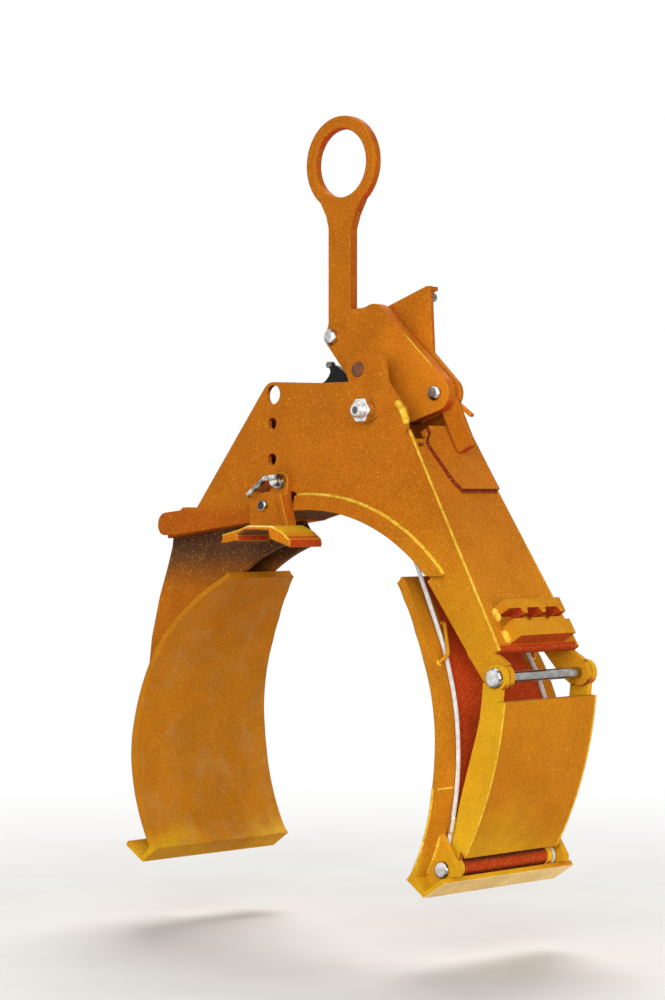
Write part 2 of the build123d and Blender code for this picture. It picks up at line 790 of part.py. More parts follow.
with BuildPart() as claw_pin:
    with BuildSketch(front_plane(-cheek_out)):
        with Locations(claw_pin_at):
            Circle(13)
    extrude(amount=6)
    fillet(claw_pin.part.edges().group_by(Axis.Y)[0], 3)
    with BuildSketch(front_plane(-cheek_out)):
        with Locations(claw_pin_at):
            Circle(claw_pin_r)
    extrude(amount=-(2 * cheek_out + 6))
    with BuildSketch(front_plane(cheek_out)):
        with Locations(claw_pin_at):
            Circle(12)
    extrude(amount=-5)
claw_pin.part.label = "claw_pin"
export_step(claw_pin.part, "parts/claw_pin.step")

lug_out = lug_in + lug_t
with BuildPart() as jaw_pin:
    with BuildSketch(front_plane(-lug_out - 0.5)):
        with Locations(jaw_pin_at):
            Circle(11)
    extrude(amount=5)
    fillet(jaw_pin.part.edges().group_by(Axis.Y)[0], 2.5)
    with BuildSketch(front_plane(-lug_out - 0.5)):
        with Locations(jaw_pin_at):
            Circle(jaw_pin_r)
    extrude(amount=-(2 * lug_out + 7))
    with BuildSketch(front_plane(lug_out + 0.5)):
        with Locations(jaw_pin_at):
            Circle(10.5)
    extrude(amount=-4)
jaw_pin.part.label = "jaw_pin"
export_step(jaw_pin.part, "parts/jaw_pin.step")

with BuildPart() as spacer_tube:
    with BuildSketch(front_plane(-cheek_in)):
        with Locations(jaw_pin_at):
            Circle(tube_r)
            Circle(jaw_pin_r + press, mode=Mode.SUBTRACT)
    extrude(amount=-2 * cheek_in)
spacer_tube.part.label = "spacer_tube"
export_step(spacer_tube.part, "parts/spacer_tube.step")

# Pawl that hangs from the lever over the arm cover
pawl_half = 13.0
pawl_rest_gap = 0.6
pawl_reach = 44.0
pawl_round = 6.0
pawl_end = on_cover(pawl_reach, flap_t + pawl_rest_gap + pawl_half)
pawl_dx = pawl_end[0] - pawl_pin_at[0]
pawl_dz = pawl_end[1] - pawl_pin_at[1]
pawl_len = hypot(pawl_dx, pawl_dz)
pawl_nx = -pawl_dz / pawl_len * pawl_half
pawl_nz = pawl_dx / pawl_len * pawl_half
with BuildPart() as pawl:
    with BuildSketch(front_plane(lever_half + side_gap)) as pawl_shape:
        with BuildLine():
            Polyline(
                (pawl_pin_at[0] + pawl_nx, pawl_pin_at[1] + pawl_nz),
                (pawl_end[0] + pawl_nx, pawl_end[1] + pawl_nz),
                (pawl_end[0] - pawl_nx, pawl_end[1] - pawl_nz),
                (pawl_pin_at[0] - pawl_nx, pawl_pin_at[1] - pawl_nz),
                close=True,
            )
        make_face()
        fillet(pawl_shape.vertices().sort_by(Axis.Y)[:2], pawl_round)
        with Locations(pawl_pin_at):
            Circle(14)
        with Locations(pawl_pin_at):
            Circle(pawl_pin_r + running, mode=Mode.SUBTRACT)
    extrude(amount=-(rear_lever_y - lever_half - 2 * side_gap))
pawl.part.label = "pawl"
export_step(pawl.part, "parts/pawl.step")

# Dark catch lever on the main bolt, behind the rear lever plate, with a knob at its free end
catch_y = rear_lever_back + 5.0
catch_t = 7.0
knob_at = (-55.5, 526.0)
knob_r = 4.4
knob_pin_r = 2.0
horn_r = 4.8
catch_outline = [
    (-73, 492), (-71, 500.5), (-63, 504.5), (-57, 510.4), (-54, 516.4), (-55.5, 522), (-52, 526), (-44, 525),
    (-16, 509), (30, 499), (60, 493), (99, 474), (99, 441), (84, 450), (56, 472), (10, 482), (-40, 487),
]
with BuildPart() as catch_lever:
    with BuildSketch(front_plane(catch_y)):
        with BuildLine():
            Polyline(*grown(catch_outline), close=True)
        make_face()
        with Locations(main_bolt_at):
            Circle(17)
        with Locations(knob_at):
            Circle(horn_r)
        with Locations(main_bolt_at):
            Circle(main_bolt_r + running, mode=Mode.SUBTRACT)
        with Locations(knob_at):
            Circle(knob_pin_r + press, mode=Mode.SUBTRACT)
    extrude(amount=-catch_t)
catch_lever.part.label = "catch_lever"
export_step(catch_lever.part, "parts/catch_lever.step")

with BuildPart() as catch_knob:
    with BuildSketch(front_plane(catch_y)):
        with Locations(knob_at):
            Circle(knob_r)
    extrude(amount=4)
    fillet(catch_knob.part.edges().group_by(Axis.Y)[0], 1.6)
    with BuildSketch(front_plane(catch_y)):
        with Locations(knob_at):
            Circle(knob_pin_r)
    extrude(amount=-catch_t)
catch_knob.part.label = "catch_knob"
export_step(catch_knob.part, "parts/catch_knob.step")

# Support foot on the front plate: saddle with two pads, upright and bolt
foot_gap = 0.4
upright_t = 8.0
upright_top_r = 12.5
saddle_front = -130.0
saddle_back = -68.0
gusset_front = -84.5
gusset_back = -70.0
saddle_top = [(-105.2, 291.4), (-74.3, 298.4), (-56, 304), (-11, 304)]
saddle_low = [
    (10, 295.5), (22.6, 286), (24, 280), (23, 274.5), (-14.8, 286.1), (-17, 297), (-60, 297), (-74.3, 291),
    (-74.3, 282.7), (-107, 277.7),
]
with BuildPart() as foot_saddle:
    with BuildSketch(front_plane(saddle_front)) as saddle_shape:
        with BuildLine():
            Polyline(*grown(saddle_top + saddle_low), close=True)
        make_face()
        Circle(pipe_r + 1.5, mode=Mode.SUBTRACT)
    extrude(amount=saddle_front - saddle_back)
    chamfer(foot_saddle.part.edges().group_by(Axis.Y)[0], 2)
foot_saddle.part.label = "foot_saddle"
export_step(foot_saddle.part, "parts/foot_saddle.step")

upright_outline = saddle_top[:3] + [(-24, 304), (-38, 346), (-37.5, 364), (-62.5, 364), (-70, 350), (-108, 346)]
rib_edge = [(-38, 346), (-24, 304), (-31, 304), (-45, 346)]
with BuildPart() as foot_upright:
    with BuildSketch(side_plane):
        with BuildLine():
            Polyline(*leaning_slab(-1, foot_gap + upright_t, -foot_gap), close=True)
        make_face()
    extrude(amount=420, both=True)
    with BuildSketch(front_plane(0)):
        with BuildLine():
            Polyline(*grown(upright_outline), close=True)
        make_face()
        with Locations(lock_pin_at):
            Circle(upright_top_r)
    extrude(amount=200, both=True, mode=Mode.INTERSECT)
    with BuildSketch(front_plane(gusset_front)):
        with BuildLine():
            Polyline(*grown(rib_edge), close=True)
        make_face()
    extrude(amount=gusset_front - gusset_back)
    with BuildSketch(front_plane(0)):
        with Locations(lock_pin_at):
            Circle(lock_pin_r + running)
    extrude(amount=200, both=True, mode=Mode.SUBTRACT)
foot_upright.part.label = "foot_upright"
export_step(foot_upright.part, "parts/foot_upright.step")

foot_bolt_at = g((-80.0, 331.0))
bolt_face = half_width(foot_bolt_at[1] - 8) + foot_gap + upright_t
with BuildPart() as foot_bolt:
    with BuildSketch(front_plane(-bolt_face)):
        with Locations(foot_bolt_at):
            Circle(8)
    extrude(amount=6)
    fillet(foot_bolt.part.edges().group_by(Axis.Y)[0], 3)
foot_bolt.part.label = "foot_bolt"
export_step(foot_bolt.part, "parts/foot_bolt.step")

# Locking pin with a cranked handle
pin_face = half_width(lock_pin_at[1]) + foot_gap + upright_t
pin_head_y = -pin_face - 16.0
pin_tip_y = -half_width(lock_pin_at[1]) + frame_t + 5.0
handle_r = 4.0
with BuildPart() as lock_pin:
    with BuildSketch(front_plane(pin_head_y)):
        with Locations(lock_pin_at):
            Circle(lock_pin_r)
    extrude(amount=pin_head_y - pin_tip_y)
    with BuildSketch(front_plane(-pin_face - 8)):
        with Locations(lock_pin_at):
            Circle(10.5)
    extrude(amount=-6)
    with BuildLine() as handle_line:
        FilletPolyline(
            at(lock_pin_at[0] + 11, pin_head_y, lock_pin_at[1] + 6),
            at(lock_pin_at[0] - 14, pin_head_y, lock_pin_at[1] + 4),
            at(lock_pin_at[0] - 47, pin_head_y, lock_pin_at[1] - 19),
            radius=10,
        )
    with BuildSketch(Plane(origin=handle_line.line @ 0, z_dir=handle_line.line % 0)):
        Circle(handle_r)
    sweep()
lock_pin.part.label = "lock_pin"
export_step(lock_pin.part, "parts/lock_pin.step")

# Ropes: from the rope pin straight to the shoe, over its back and down to the jaw pin
eye_turn_r = 9.6
low_eye_r = 10.6
rope_lie_r = jaw_out + rope_r + 1.6
touch_deg = 33.2
touch_y = -75.0
touch = polar(rope_lie_r, touch_deg)
run = Vector(touch[0] - rope_pin_at[0], touch_y + rope_pin_y, touch[1] - rope_pin_at[1]).normalized()
rope_start = at(
    rope_pin_at[0] + run.X * eye_turn_r,
    -rope_pin_y + run.Y * eye_turn_r,
    rope_pin_at[1] + run.Z * eye_turn_r,
)
lie_turns = [(26.5, -83.5), (17.0, -89.5), (7.0, -95.0), (-4.0, -97.5), (-16.0, -97.5)]
rope_points = [rope_start, at(touch[0], touch_y, touch[1])]
for turn, y in lie_turns:
    lie_x, lie_z = polar(rope_lie_r, turn)
    rope_points = rope_points + [at(lie_x, y, lie_z)]
end_x, end_z = polar(low_eye_r, 160.0)
rope_points = rope_points + [at(jaw_pin_at[0] + end_x, -rope_y, jaw_pin_at[1] + end_z)]


def bend_radii(points):
    """Bend radius at each inner point of a route, as large as the runs on both sides allow."""
    radii = []
    for before, here, after in zip(points, points[1:], points[2:]):
        arriving = Vector(here) - Vector(before)
        leaving = Vector(after) - Vector(here)
        half_turn = radians(arriving.get_angle(leaving)) / 2
        radii = radii + [0.45 * min(arriving.length, leaving.length) / tan(half_turn)]
    return radii


rope_radii = bend_radii(rope_points)
print("rope bend radii", [round(radius) for radius in rope_radii])
with BuildPart() as rope_front:
    with BuildLine() as rope_route:
        FilletPolyline(*rope_points, radius=rope_radii)
    with BuildSketch(Plane(origin=rope_route.line @ 0, z_dir=rope_route.line % 0)):
        Circle(rope_r)
    sweep()
    with Locations(Location(at(rope_pin_at[0], -rope_pin_y, rope_pin_at[1]), (90, 0, 0))):
        Torus(eye_turn_r, rope_r)
    with Locations(Location(at(jaw_pin_at[0], -rope_y, jaw_pin_at[1]), (90, 0, 0))):
        Torus(low_eye_r, rope_r)
rope_front.part.label = "rope_front"
export_step(rope_front.part, "parts/rope_front.step")

with BuildPart() as rope_rear:
    mirror(rope_front.part, about=Plane.XZ)
rope_rear.part.label = "rope_rear"
export_step(rope_rear.part, "parts/rope_rear.step")
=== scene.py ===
# %% [markdown]
# # A round grab, dressed around its frame
# The grab hangs from a lifting eye. A lever closes two jaws, and two wire ropes pull the right one in.
# The solids of its plates, pins and covers are loaded as they were built, and they stay where they are.
# They could be modelled again here, but then they would have to be fitted to the joints a second time.
# So this lesson only adds what the solids lack: ropes with strands, weld seams, threads, paint and light.

# %% Load the frame
import math
from types import SimpleNamespace

import bmesh
import bpy
import numpy as np
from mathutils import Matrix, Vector

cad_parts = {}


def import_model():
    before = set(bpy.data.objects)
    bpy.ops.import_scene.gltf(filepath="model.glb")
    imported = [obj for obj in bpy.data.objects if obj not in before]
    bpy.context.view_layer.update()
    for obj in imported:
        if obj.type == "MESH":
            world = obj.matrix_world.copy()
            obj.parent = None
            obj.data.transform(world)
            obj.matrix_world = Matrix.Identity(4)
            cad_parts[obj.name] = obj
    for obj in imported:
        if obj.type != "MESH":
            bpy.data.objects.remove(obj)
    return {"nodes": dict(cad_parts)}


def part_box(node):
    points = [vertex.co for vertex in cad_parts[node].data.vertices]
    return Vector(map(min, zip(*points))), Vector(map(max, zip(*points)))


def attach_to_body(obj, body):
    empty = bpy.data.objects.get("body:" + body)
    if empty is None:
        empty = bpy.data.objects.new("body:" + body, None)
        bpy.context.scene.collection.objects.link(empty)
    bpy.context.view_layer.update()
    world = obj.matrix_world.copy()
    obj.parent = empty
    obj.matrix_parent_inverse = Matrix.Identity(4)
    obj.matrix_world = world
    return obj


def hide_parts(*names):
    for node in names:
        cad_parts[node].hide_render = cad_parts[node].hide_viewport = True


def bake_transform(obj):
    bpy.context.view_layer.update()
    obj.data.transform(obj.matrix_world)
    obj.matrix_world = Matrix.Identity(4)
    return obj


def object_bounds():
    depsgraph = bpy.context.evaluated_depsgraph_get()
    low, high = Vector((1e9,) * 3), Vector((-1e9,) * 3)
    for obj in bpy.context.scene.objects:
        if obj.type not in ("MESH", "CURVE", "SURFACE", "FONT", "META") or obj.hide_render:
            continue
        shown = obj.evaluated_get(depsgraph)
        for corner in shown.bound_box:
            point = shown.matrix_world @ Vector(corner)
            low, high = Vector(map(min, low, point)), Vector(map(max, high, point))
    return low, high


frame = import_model()
cad_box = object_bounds()
nodes = frame["nodes"]

# %% [markdown]
# ## The camera
# The photograph was taken from the front right, level with the middle of the grab, with a long lens. A
# camera could be turned by hand until the edges agree. Here its place, its aim and its lens are sizes
# that were worked out from the pins and corners of the grab, so every edge lands where it does in the
# photograph. The sensor's width belongs to the long side of the frame, which is the upright one.

# %% Set the camera
CAMERA_PLACE = Vector((2.6659, -2.8378, -0.4566))
CAMERA_AIM = Vector((0.0531, -0.0777, -0.4605))
LENS_MM = 102.4
SENSOR_MM = 36.0


def set_up(name, data, place, aim):
    """A camera or a lamp at a place, turned so that it looks at its aim."""
    made = bpy.data.objects.new(name, data)
    made.location = place
    made.rotation_euler = (aim - Vector(place)).to_track_quat("-Z", "Y").to_euler()
    bpy.context.scene.collection.objects.link(made)
    return made


camera = set_up("studio_camera", bpy.data.cameras.new("studio_camera"), CAMERA_PLACE, CAMERA_AIM)
camera.data.lens = LENS_MM
camera.data.sensor_width = SENSOR_MM
bpy.context.scene.camera = camera
print("camera:", round((CAMERA_AIM - CAMERA_PLACE).length, 2), "m away")

# %% [markdown]
# ## Shapes from grids of points
# Every new piece is a grid of points: rows along the piece and columns around it.
# Blender has ready-made cylinders and screws, but a grid from a formula says exactly where each point lies.
# One helper turns grids into a mesh. It merges the points that meet at a seam or a pole,
# so the piece is closed, and turns the faces outwards.

# %% Turn grids into a piece
MM = 0.001
GRIP_DROP = 799.0
MERGE = 0.002 * MM


def from_grip(points):
    """Points in millimetres from the gripping axis, as metres from the lifting eye: z drops by
    GRIP_DROP."""
    return (np.asarray(points, float) - (0.0, 0.0, GRIP_DROP)) * MM


def piece_from(name, grids, smooth=True):
    """One object from grids of points (rows, columns, 3). Columns close on themselves; rows run end to
    end. Each quad joins (i, j), (i+1, j), (i+1, j+1), (i, j+1). The map "lay" holds column share and row
    share."""
    near, far = slice(0, -1), slice(1, None)
    corners = ((near, near), (far, near), (far, far), (near, far))
    places, faces, maps, used = [], [], [], 0
    for grid in grids:
        rows, columns = grid.shape[:2]
        number = np.arange(rows * columns).reshape(rows, columns) + used
        number = np.concatenate([number, number[:, :1]], axis=1)
        shares = np.meshgrid(np.linspace(0, 1, rows), np.linspace(0, 1, columns + 1), indexing="ij")
        share = np.stack(shares[::-1], -1)
        faces.append(np.stack([number[c] for c in corners], -1).reshape(-1, 4))
        maps.append(np.stack([share[c] for c in corners], -2).reshape(-1, 2))
        places.append(grid.reshape(-1, 3))
        used += rows * columns
    mesh = bpy.data.meshes.new(name)
    mesh.from_pydata(np.concatenate(places).tolist(), [], np.concatenate(faces).tolist())
    lay = mesh.uv_layers.new(name="lay")
    lay.data.foreach_set("uv", np.concatenate(maps).astype(np.float32).ravel())
    solid = bmesh.new()
    solid.from_mesh(mesh)
    bmesh.ops.remove_doubles(solid, verts=solid.verts, dist=MERGE)
    bmesh.ops.recalc_face_normals(solid, faces=solid.faces)
    solid.to_mesh(mesh)
    solid.free()
    mesh.polygons.foreach_set("use_smooth", np.full(len(mesh.polygons), smooth))
    piece = bpy.data.objects.new(name, mesh)
    bpy.context.scene.collection.objects.link(piece)
    return piece


print("gripping axis:", GRIP_DROP, "mm under the lifting eye")

# %% [markdown]
# ## Tubes along paths
# Ropes and weld seams follow a path. Blender can thicken a curve, but then every ring has the same
# outline. Here each ring stands square to the path, and its radius may change from point to point, so a
# bead can swell.

# %% Lay tubes along paths
ACROSS = np.array((0.0, 1.0, 0.0))


def unit(vectors):
    """Each vector divided by its length."""
    return vectors / np.linalg.norm(vectors, axis=-1, keepdims=True)


def full_turn(columns):
    """Angles of a number of columns, evenly round a full turn."""
    return np.linspace(0, 2 * np.pi, columns, endpoint=False)


def distance_along(path):
    """Distance from the start of a path to each of its points: the running sum of its steps."""
    return np.concatenate([[0.0], np.cumsum(np.linalg.norm(np.diff(path, axis=0), axis=1))])


def points_at(path, distances):
    """Points at given distances along a path, in line between its own points."""
    reach = distance_along(path)
    return np.stack([np.interp(distances, reach, path[:, i]) for i in range(3)], axis=1)


def evenly(path, step):
    """The path again with points about one step apart."""
    length = distance_along(path)[-1]
    count = max(4, int(round(length / step)) + 1)
    return points_at(path, np.linspace(0, length, count))


def square_to(path, across):
    """Two directions square to a path at each point: side = ahead x across, up = side x ahead."""
    ahead = unit(np.gradient(path, axis=0))
    side = unit(np.cross(ahead, across))
    return side, np.cross(side, ahead)


def tube(path, wide, columns, across=ACROSS, thick=None):
    """Rings round a path: centre + wide cos a side + thick sin a up. A round tube has one radius for
    both, as one number or one per ring and column. The first and last ring are drawn in to their centres
    to close the ends."""
    side, up = square_to(path, across)
    turn = full_turn(columns)[:, None]
    wide = np.broadcast_to(wide, (len(path), columns))[..., None]
    thick = wide if thick is None else thick
    rings = path[:, None] + wide * np.cos(turn) * side[:, None] + thick * np.sin(turn) * up[:, None]
    ends = np.repeat(path[[0, -1]][:, None], columns, axis=1)
    return np.concatenate([ends[:1], rings, ends[1:]])


print("tubes: square to", ACROSS)

# %% [markdown]
# ## Node helpers for the finishes
# A finish is a small graph of nodes that ends in one Principled shader. Typing each node's links in full
# makes long code. Here one helper fills a node's sockets, with a number, a colour or another node's socket.
# A socket knows the graph that it is part of, so the helpers that work on sockets find it by themselves.

# %% Make and join nodes
MIX_SHARE, MIX_FIRST, MIX_SECOND, MIX_COLOUR = 0, 6, 7, 2


def plug(made, sockets):
    """Fill sockets of a node: another node's socket is joined to it, and a number or a colour is typed
    in."""
    for key, value in sockets.items():
        socket = made.inputs[key]
        if isinstance(value, bpy.types.NodeSocket):
            made.id_data.links.new(value, socket)
        else:
            socket.default_value = (*value, 1.0) if socket.type == "RGBA" else value
    return made


def node(tree, kind, sockets=None, **settings):
    """A new node of a kind, with its settings and its sockets."""
    made = tree.nodes.new("ShaderNode" + kind)
    for key, value in settings.items():
        setattr(made, key, value)
    return plug(made, sockets or {})


def grain(place, scale, detail=3.0, roughness=0.6):
    """Noise on a place, from 0 to 1 about a half. The scale counts bumps to the metre."""
    sockets = {"Vector": place, "Scale": scale, "Detail": detail, "Roughness": roughness}
    return node(place.id_data, "TexNoise", sockets).outputs["Fac"]


def remap(value, low, high, to_low=0.0, to_high=1.0):
    """Smooth step: the value between low and high becomes to_low to to_high, and stays there outside."""
    sockets = {"Value": value, "From Min": low, "From Max": high, "To Min": to_low, "To Max": to_high}
    return node(value.id_data, "MapRange", sockets, interpolation_type="SMOOTHSTEP").outputs["Result"]


def blend_tones(share, first, second):
    """Colour between first and second by a share. Either colour is three numbers or a socket."""
    sockets = {MIX_SHARE: share, MIX_FIRST: first, MIX_SECOND: second}
    return node(share.id_data, "Mix", sockets, data_type="RGBA").outputs[MIX_COLOUR]


def combine(operation, first, second=0.0):
    """Math on two values. Either is a number or a socket."""
    tree = (first if isinstance(first, bpy.types.NodeSocket) else second).id_data
    return node(tree, "Math", {0: first, 1: second}, operation=operation).outputs["Value"]


print("colours are mixed on the sockets", MIX_FIRST, "and", MIX_SECOND)

# %% [markdown]
# ## Orange paint
# The plates are sprayed with a thick orange coat. Up on the lever it is a brown orange, and low on the arm
# and claw it turns golden. Edges are lighter, partly as paint rubbed in use and partly as a painted
# highlight, and fine specks lie all over it. A single colour would look like plastic. Here noise on Object
# coordinates gives clouds, grain and specks, and the Bevel node, which rounds the edges, also finds them for
# the wear and the painted highlight.

# %% Tones, specks, edges and grain
ORANGE = (0.490, 0.145, 0.0090)
BROWN_ORANGE = (0.430, 0.100, 0.0080)
WARM_ORANGE = (0.665, 0.205, 0.0120)
AMBER = (0.550, 0.200, 0.0100)
HONEY = (0.620, 0.280, 0.0120)
GOLD = (0.705, 0.375, 0.0140)
BRIGHT_GOLD = (0.780, 0.470, 0.0200)
# Painted shade: this red darkens undersides, and the back of the right jaw where the cheek shades it.
SHADE_RED = (0.600, 0.060, 0.0120)
DEEP_RED = (0.450, 0.050, 0.0110)
# Gold for lighter edges: partly worn paint and partly a painted highlight.
EDGE_GOLD = (0.800, 0.520, 0.0450)
SPECK = (0.780, 0.460, 0.0500)
CLOUDS = 22.0
FINE_GRAIN = 420.0
BEVEL_SAMPLES = 4


def all_of(*shares):
    """Product of the shares: 1 only where each of them is 1."""
    product, *others = shares
    for share in others:
        product = combine("MULTIPLY", product, share)
    return product


def scattered(place, scale, size, share):
    """Small round dots: in a random share of the cells of a Voronoi pattern, 1 inside size and 0 outside
    it."""
    cells = node(place.id_data, "TexVoronoi", {"Vector": place, "Scale": scale}).outputs
    chance = node(place.id_data, "SeparateColor", {0: cells["Color"]}).outputs[0]
    return all_of(remap(cells["Distance"], size, 0.5 * size), combine("LESS_THAN", chance, share))


def rounded_edges(tree, radius):
    """The normal of edges that are rounded by a radius."""
    return node(tree, "Bevel", {"Radius": radius}, samples=BEVEL_SAMPLES).outputs["Normal"]


def along(vector, direction):
    """Dot product of a vector with a direction."""
    made = node(vector.id_data, "VectorMath", {0: vector, 1: direction}, operation="DOT_PRODUCT")
    return made.outputs["Value"]


def edge_share(rounded):
    """How far a rounded normal leaves the face's own normal: 0 on flats, 1 on edges."""
    own = node(rounded.id_data, "NewGeometry").outputs["Normal"]
    return remap(along(rounded, own), 0.995, 0.82)


def grainy(place, tone):
    """The tone with grain: clouds and fine noise change its value, and the fine noise turns its hue to
    yellow."""
    fine = grain(place, FINE_GRAIN)
    clouds = remap(grain(place, CLOUDS, 5.0), 0.34, 0.66, 0.93, 1.06)
    value = all_of(clouds, remap(fine, 0.30, 0.70, 0.90, 1.10))
    sockets = {"Hue": remap(fine, 0.30, 0.70, 0.493, 0.507), "Value": value, "Color": tone}
    return node(place.id_data, "HueSaturation", sockets).outputs["Color"]


print("tones:", ORANGE, "to", GOLD)

# %% [markdown]
# ## Marks of the lever, the frame and the left jaw
# Some pieces have marks of their own, and many of them are painted shade and painted highlights. Masks could
# be painted by hand. Here each function takes the tone so far and mixes the marks of one piece into it, by
# where a point lies or where its face looks. The narrow faces of the lever are redder than its flats, as
# painted shade, and its slanted edge has a gold line that is partly worn paint and partly a painted
# highlight. The frame is browner at its low left end, an oval of painted shadow lies behind the handle of the
# locking pin, and a painted shadow darkens the left jaw under the floor.

# %% Marks of the lever, the frame and the left jaw
RED_BROWN = (0.340, 0.060, 0.0100)
DARK_RED = (0.200, 0.028, 0.0130)
# A near black painted shade: for undersides, the top of the spacer tube and the left jaw below the floor
# strip.
DEEP_SHADE = (0.075, 0.036, 0.0240)
SLANT_OUT = (0.6689, 0.0, 0.7434)
SLANT_AT = -0.0966
GOLD_LINE = (2.4 * MM, 1.6 * MM)
GOLD_LINE_Z = (-0.285, -0.236)
NOSE_X = (-0.040, -0.110)
NOSE_Z = (-0.462, -0.484)
# Middle and half size of the oval of painted shadow behind the handle of the locking pin.
HANDLE_SHADOW_OVAL = (("X", -0.087, 0.024), ("Z", -0.444, 0.010))
# Heights over which the painted shadow below the floor strip fades out.
FLOOR_SHADOW_Z = (-0.600, -0.525)


def past(value, edge):
    """0 up to an edge, and 1 from a millimetre past it on."""
    return remap(value, edge, edge + MM)


def before(value, edge):
    """1 up to a millimetre before an edge, and 0 past it."""
    return remap(value, edge, edge - MM)


def between(value, low, high, fade):
    """1 between two edges and 0 outside them, with a fade inside each."""
    return all_of(remap(value, low, low + fade), remap(value, high, high - fade))


def lever_sides(coat, tone):
    """The narrow faces of the lever that look right take a red brown painted shade, and the slanted ones a
    deep red painted shade. Along the front plate's slanted edge a gold line is partly paint rubbed away and
    partly a painted highlight."""
    # Painted shade on the narrow faces, then the gold line of wear and painted highlight.
    tone = blend_tones(remap(coat.normal["X"], 0.60, 0.90, 0.0, 0.60), tone, RED_BROWN)
    tone = blend_tones(remap(along(coat.looks, SLANT_OUT), 0.90, 0.98, 0.0, 0.38), tone, DEEP_RED)
    line = remap(along(coat.place, SLANT_OUT), *(SLANT_AT - inset for inset in GOLD_LINE))
    worn_and_lit = all_of(line, between(coat.at["Z"], *GOLD_LINE_Z, 10 * MM), remap(coat.normal["Y"], -0.50, -0.90),
                  before(coat.at["Y"], 0.0))
    return blend_tones(worn_and_lit, tone, EDGE_GOLD)


def squares(first, second):
    """Sum of two squares."""
    return combine("ADD", all_of(first, first), all_of(second, second))


def frame_nose(coat, tone):
    """The low left end of the frame plates, by the floor strip, is a browner orange. Behind the handle of the
    locking pin a painted shadow darkens the front plate to dark red, in an oval by the distances from its
    middle."""
    nose = all_of(remap(coat.at["Z"], *NOSE_Z), remap(coat.at["X"], *NOSE_X))
    tone = blend_tones(nose, tone, BROWN_ORANGE)
    # The oval of painted shadow behind the handle.
    away = [combine("DIVIDE", combine("SUBTRACT", coat.at[axis], middle), half)
            for axis, middle, half in HANDLE_SHADOW_OVAL]
    handle_shadow = all_of(remap(squares(*away), 1.15, 0.55, 0.0, 0.85), before(coat.at["Y"], 0.0))
    return blend_tones(handle_shadow, tone, DARK_RED)


def under_floor(coat, tone):
    """A painted shadow on the left jaw just below the floor strip, which thins out downwards."""
    return blend_tones(remap(coat.at["Z"], *FLOOR_SHADOW_Z, 0.0, 0.97), tone, DEEP_SHADE)


print("worn line on the lever:", round(GOLD_LINE_Z[1] - GOLD_LINE_Z[0], 3), "m high")

# %% [markdown]
# ## Marks of the arm cover
# Painted shade in red darkens the teeth of the upper step bar, the rim of the flap, the end and the rear edge
# of the arm cover and the edges of the pawl, and a painted shadow lies in the step below the flap. These
# marks could be given in x and z, but a place on the slanting cover is easier to say along the slope, so one
# helper turns a point into slope and lift.

# %% Marks of the arm cover
cover_top = np.array((172.0, 432.0))
cover_end = np.array((347.0, 147.0))
COVER_LEN = float(np.linalg.norm(cover_end - cover_top))
down_cover = (cover_end - cover_top) / COVER_LEN
off_cover = np.array((-down_cover[1], down_cover[0]))
TEETH_FROM = 0.2735
TEETH_TOP = 0.0225
TEETH_HALF = 0.0545
FLAP_END = 0.096
FLAP_MIDDLE = 0.025
FLAP_HALF = 0.037
COVER_RED_FROM = 0.3252
RIM_RED_Y = (-0.030, -0.020)


def in_space(way):
    """A direction x, z as a direction in space, of plain numbers."""
    return float(way[0]), 0.0, float(way[1])


def cover_place(place):
    """Slope down the arm cover from its top and lift off its face, in metres: dot products with its
    directions."""
    top = from_grip(in_space(cover_top))
    ways = [in_space(way) for way in (down_cover, off_cover)]
    return [combine("SUBTRACT", along(place, way), float(np.dot(top, way))) for way in ways]


def size_of(value):
    """The value without its sign."""
    return combine("ABSOLUTE", value)


def bar_teeth(coat, tone):
    """Deep red painted shade on the upper step bar below its outer face and past its upper edge, but not on
    its ends."""
    slope, lift = cover_place(coat.place)
    teeth = all_of(past(slope, TEETH_FROM), before(lift, TEETH_TOP),
                   before(size_of(coat.at["Y"]), TEETH_HALF))
    return blend_tones(teeth, tone, DEEP_RED)


def cover_foot(coat, tone):
    """Deep red painted shade on the end of the arm cover past the lower step bar, on its rear edge and round
    the pawl, and a dark red painted shadow in the step below the flap."""
    slope, lift = cover_place(coat.place)
    tone = blend_tones(past(slope, COVER_RED_FROM), tone, DEEP_RED)
    depth = size_of(combine("SUBTRACT", coat.at["Y"], FLAP_MIDDLE))
    step = all_of(past(slope, FLAP_END - MM), remap(slope, FLAP_END + 5 * MM, FLAP_END + 3 * MM),
                  before(depth, FLAP_HALF + MM), before(lift, 2 * MM), 0.85)
    tone = blend_tones(step, tone, DARK_RED)
    return blend_tones(all_of(coat.rim, remap(coat.at["Y"], *RIM_RED_Y), 0.85), tone, DEEP_RED)


def flap_rim(coat, tone):
    """Dark red painted shade on the rim of the flap: where its faces turn away from the arm cover's own
    direction.
    """
    return blend_tones(remap(along(coat.looks, in_space(off_cover)), 0.80, 0.40), tone, DARK_RED)


print("arm cover:", round(COVER_LEN, 1), "mm long")

# %% [markdown]
# ## Marks of the foot, the tube and the weld beads
# The foot's saddle has painted light: gold on its top faces and a painted glint along its chamfer, with
# painted shade on its faces that look right. The spacer tube has a painted shade on top, where the claw's
# cover shades it, and the weld beads have painted glints on their crowns and painted shade in their dips. One
# tone for each would hide their shape, so masks by the way that a face looks, and by noise on the beads, pick
# them out.

# %% Marks of the foot, the tube and the weld beads
# Pale gold for painted glints.
GLINT = (1.000, 0.800, 0.3000)
SADDLE_Z = (-0.4935, -0.4955)
RED_LINE_Z = (-0.5128, -0.5078)
GLINT_Z = (-0.4985, -0.4970)
# Size of the patches of painted light on the saddle's top faces.
TOP_LIGHT_PATCHES = 70.0
BEAD_RIPPLES = 170.0


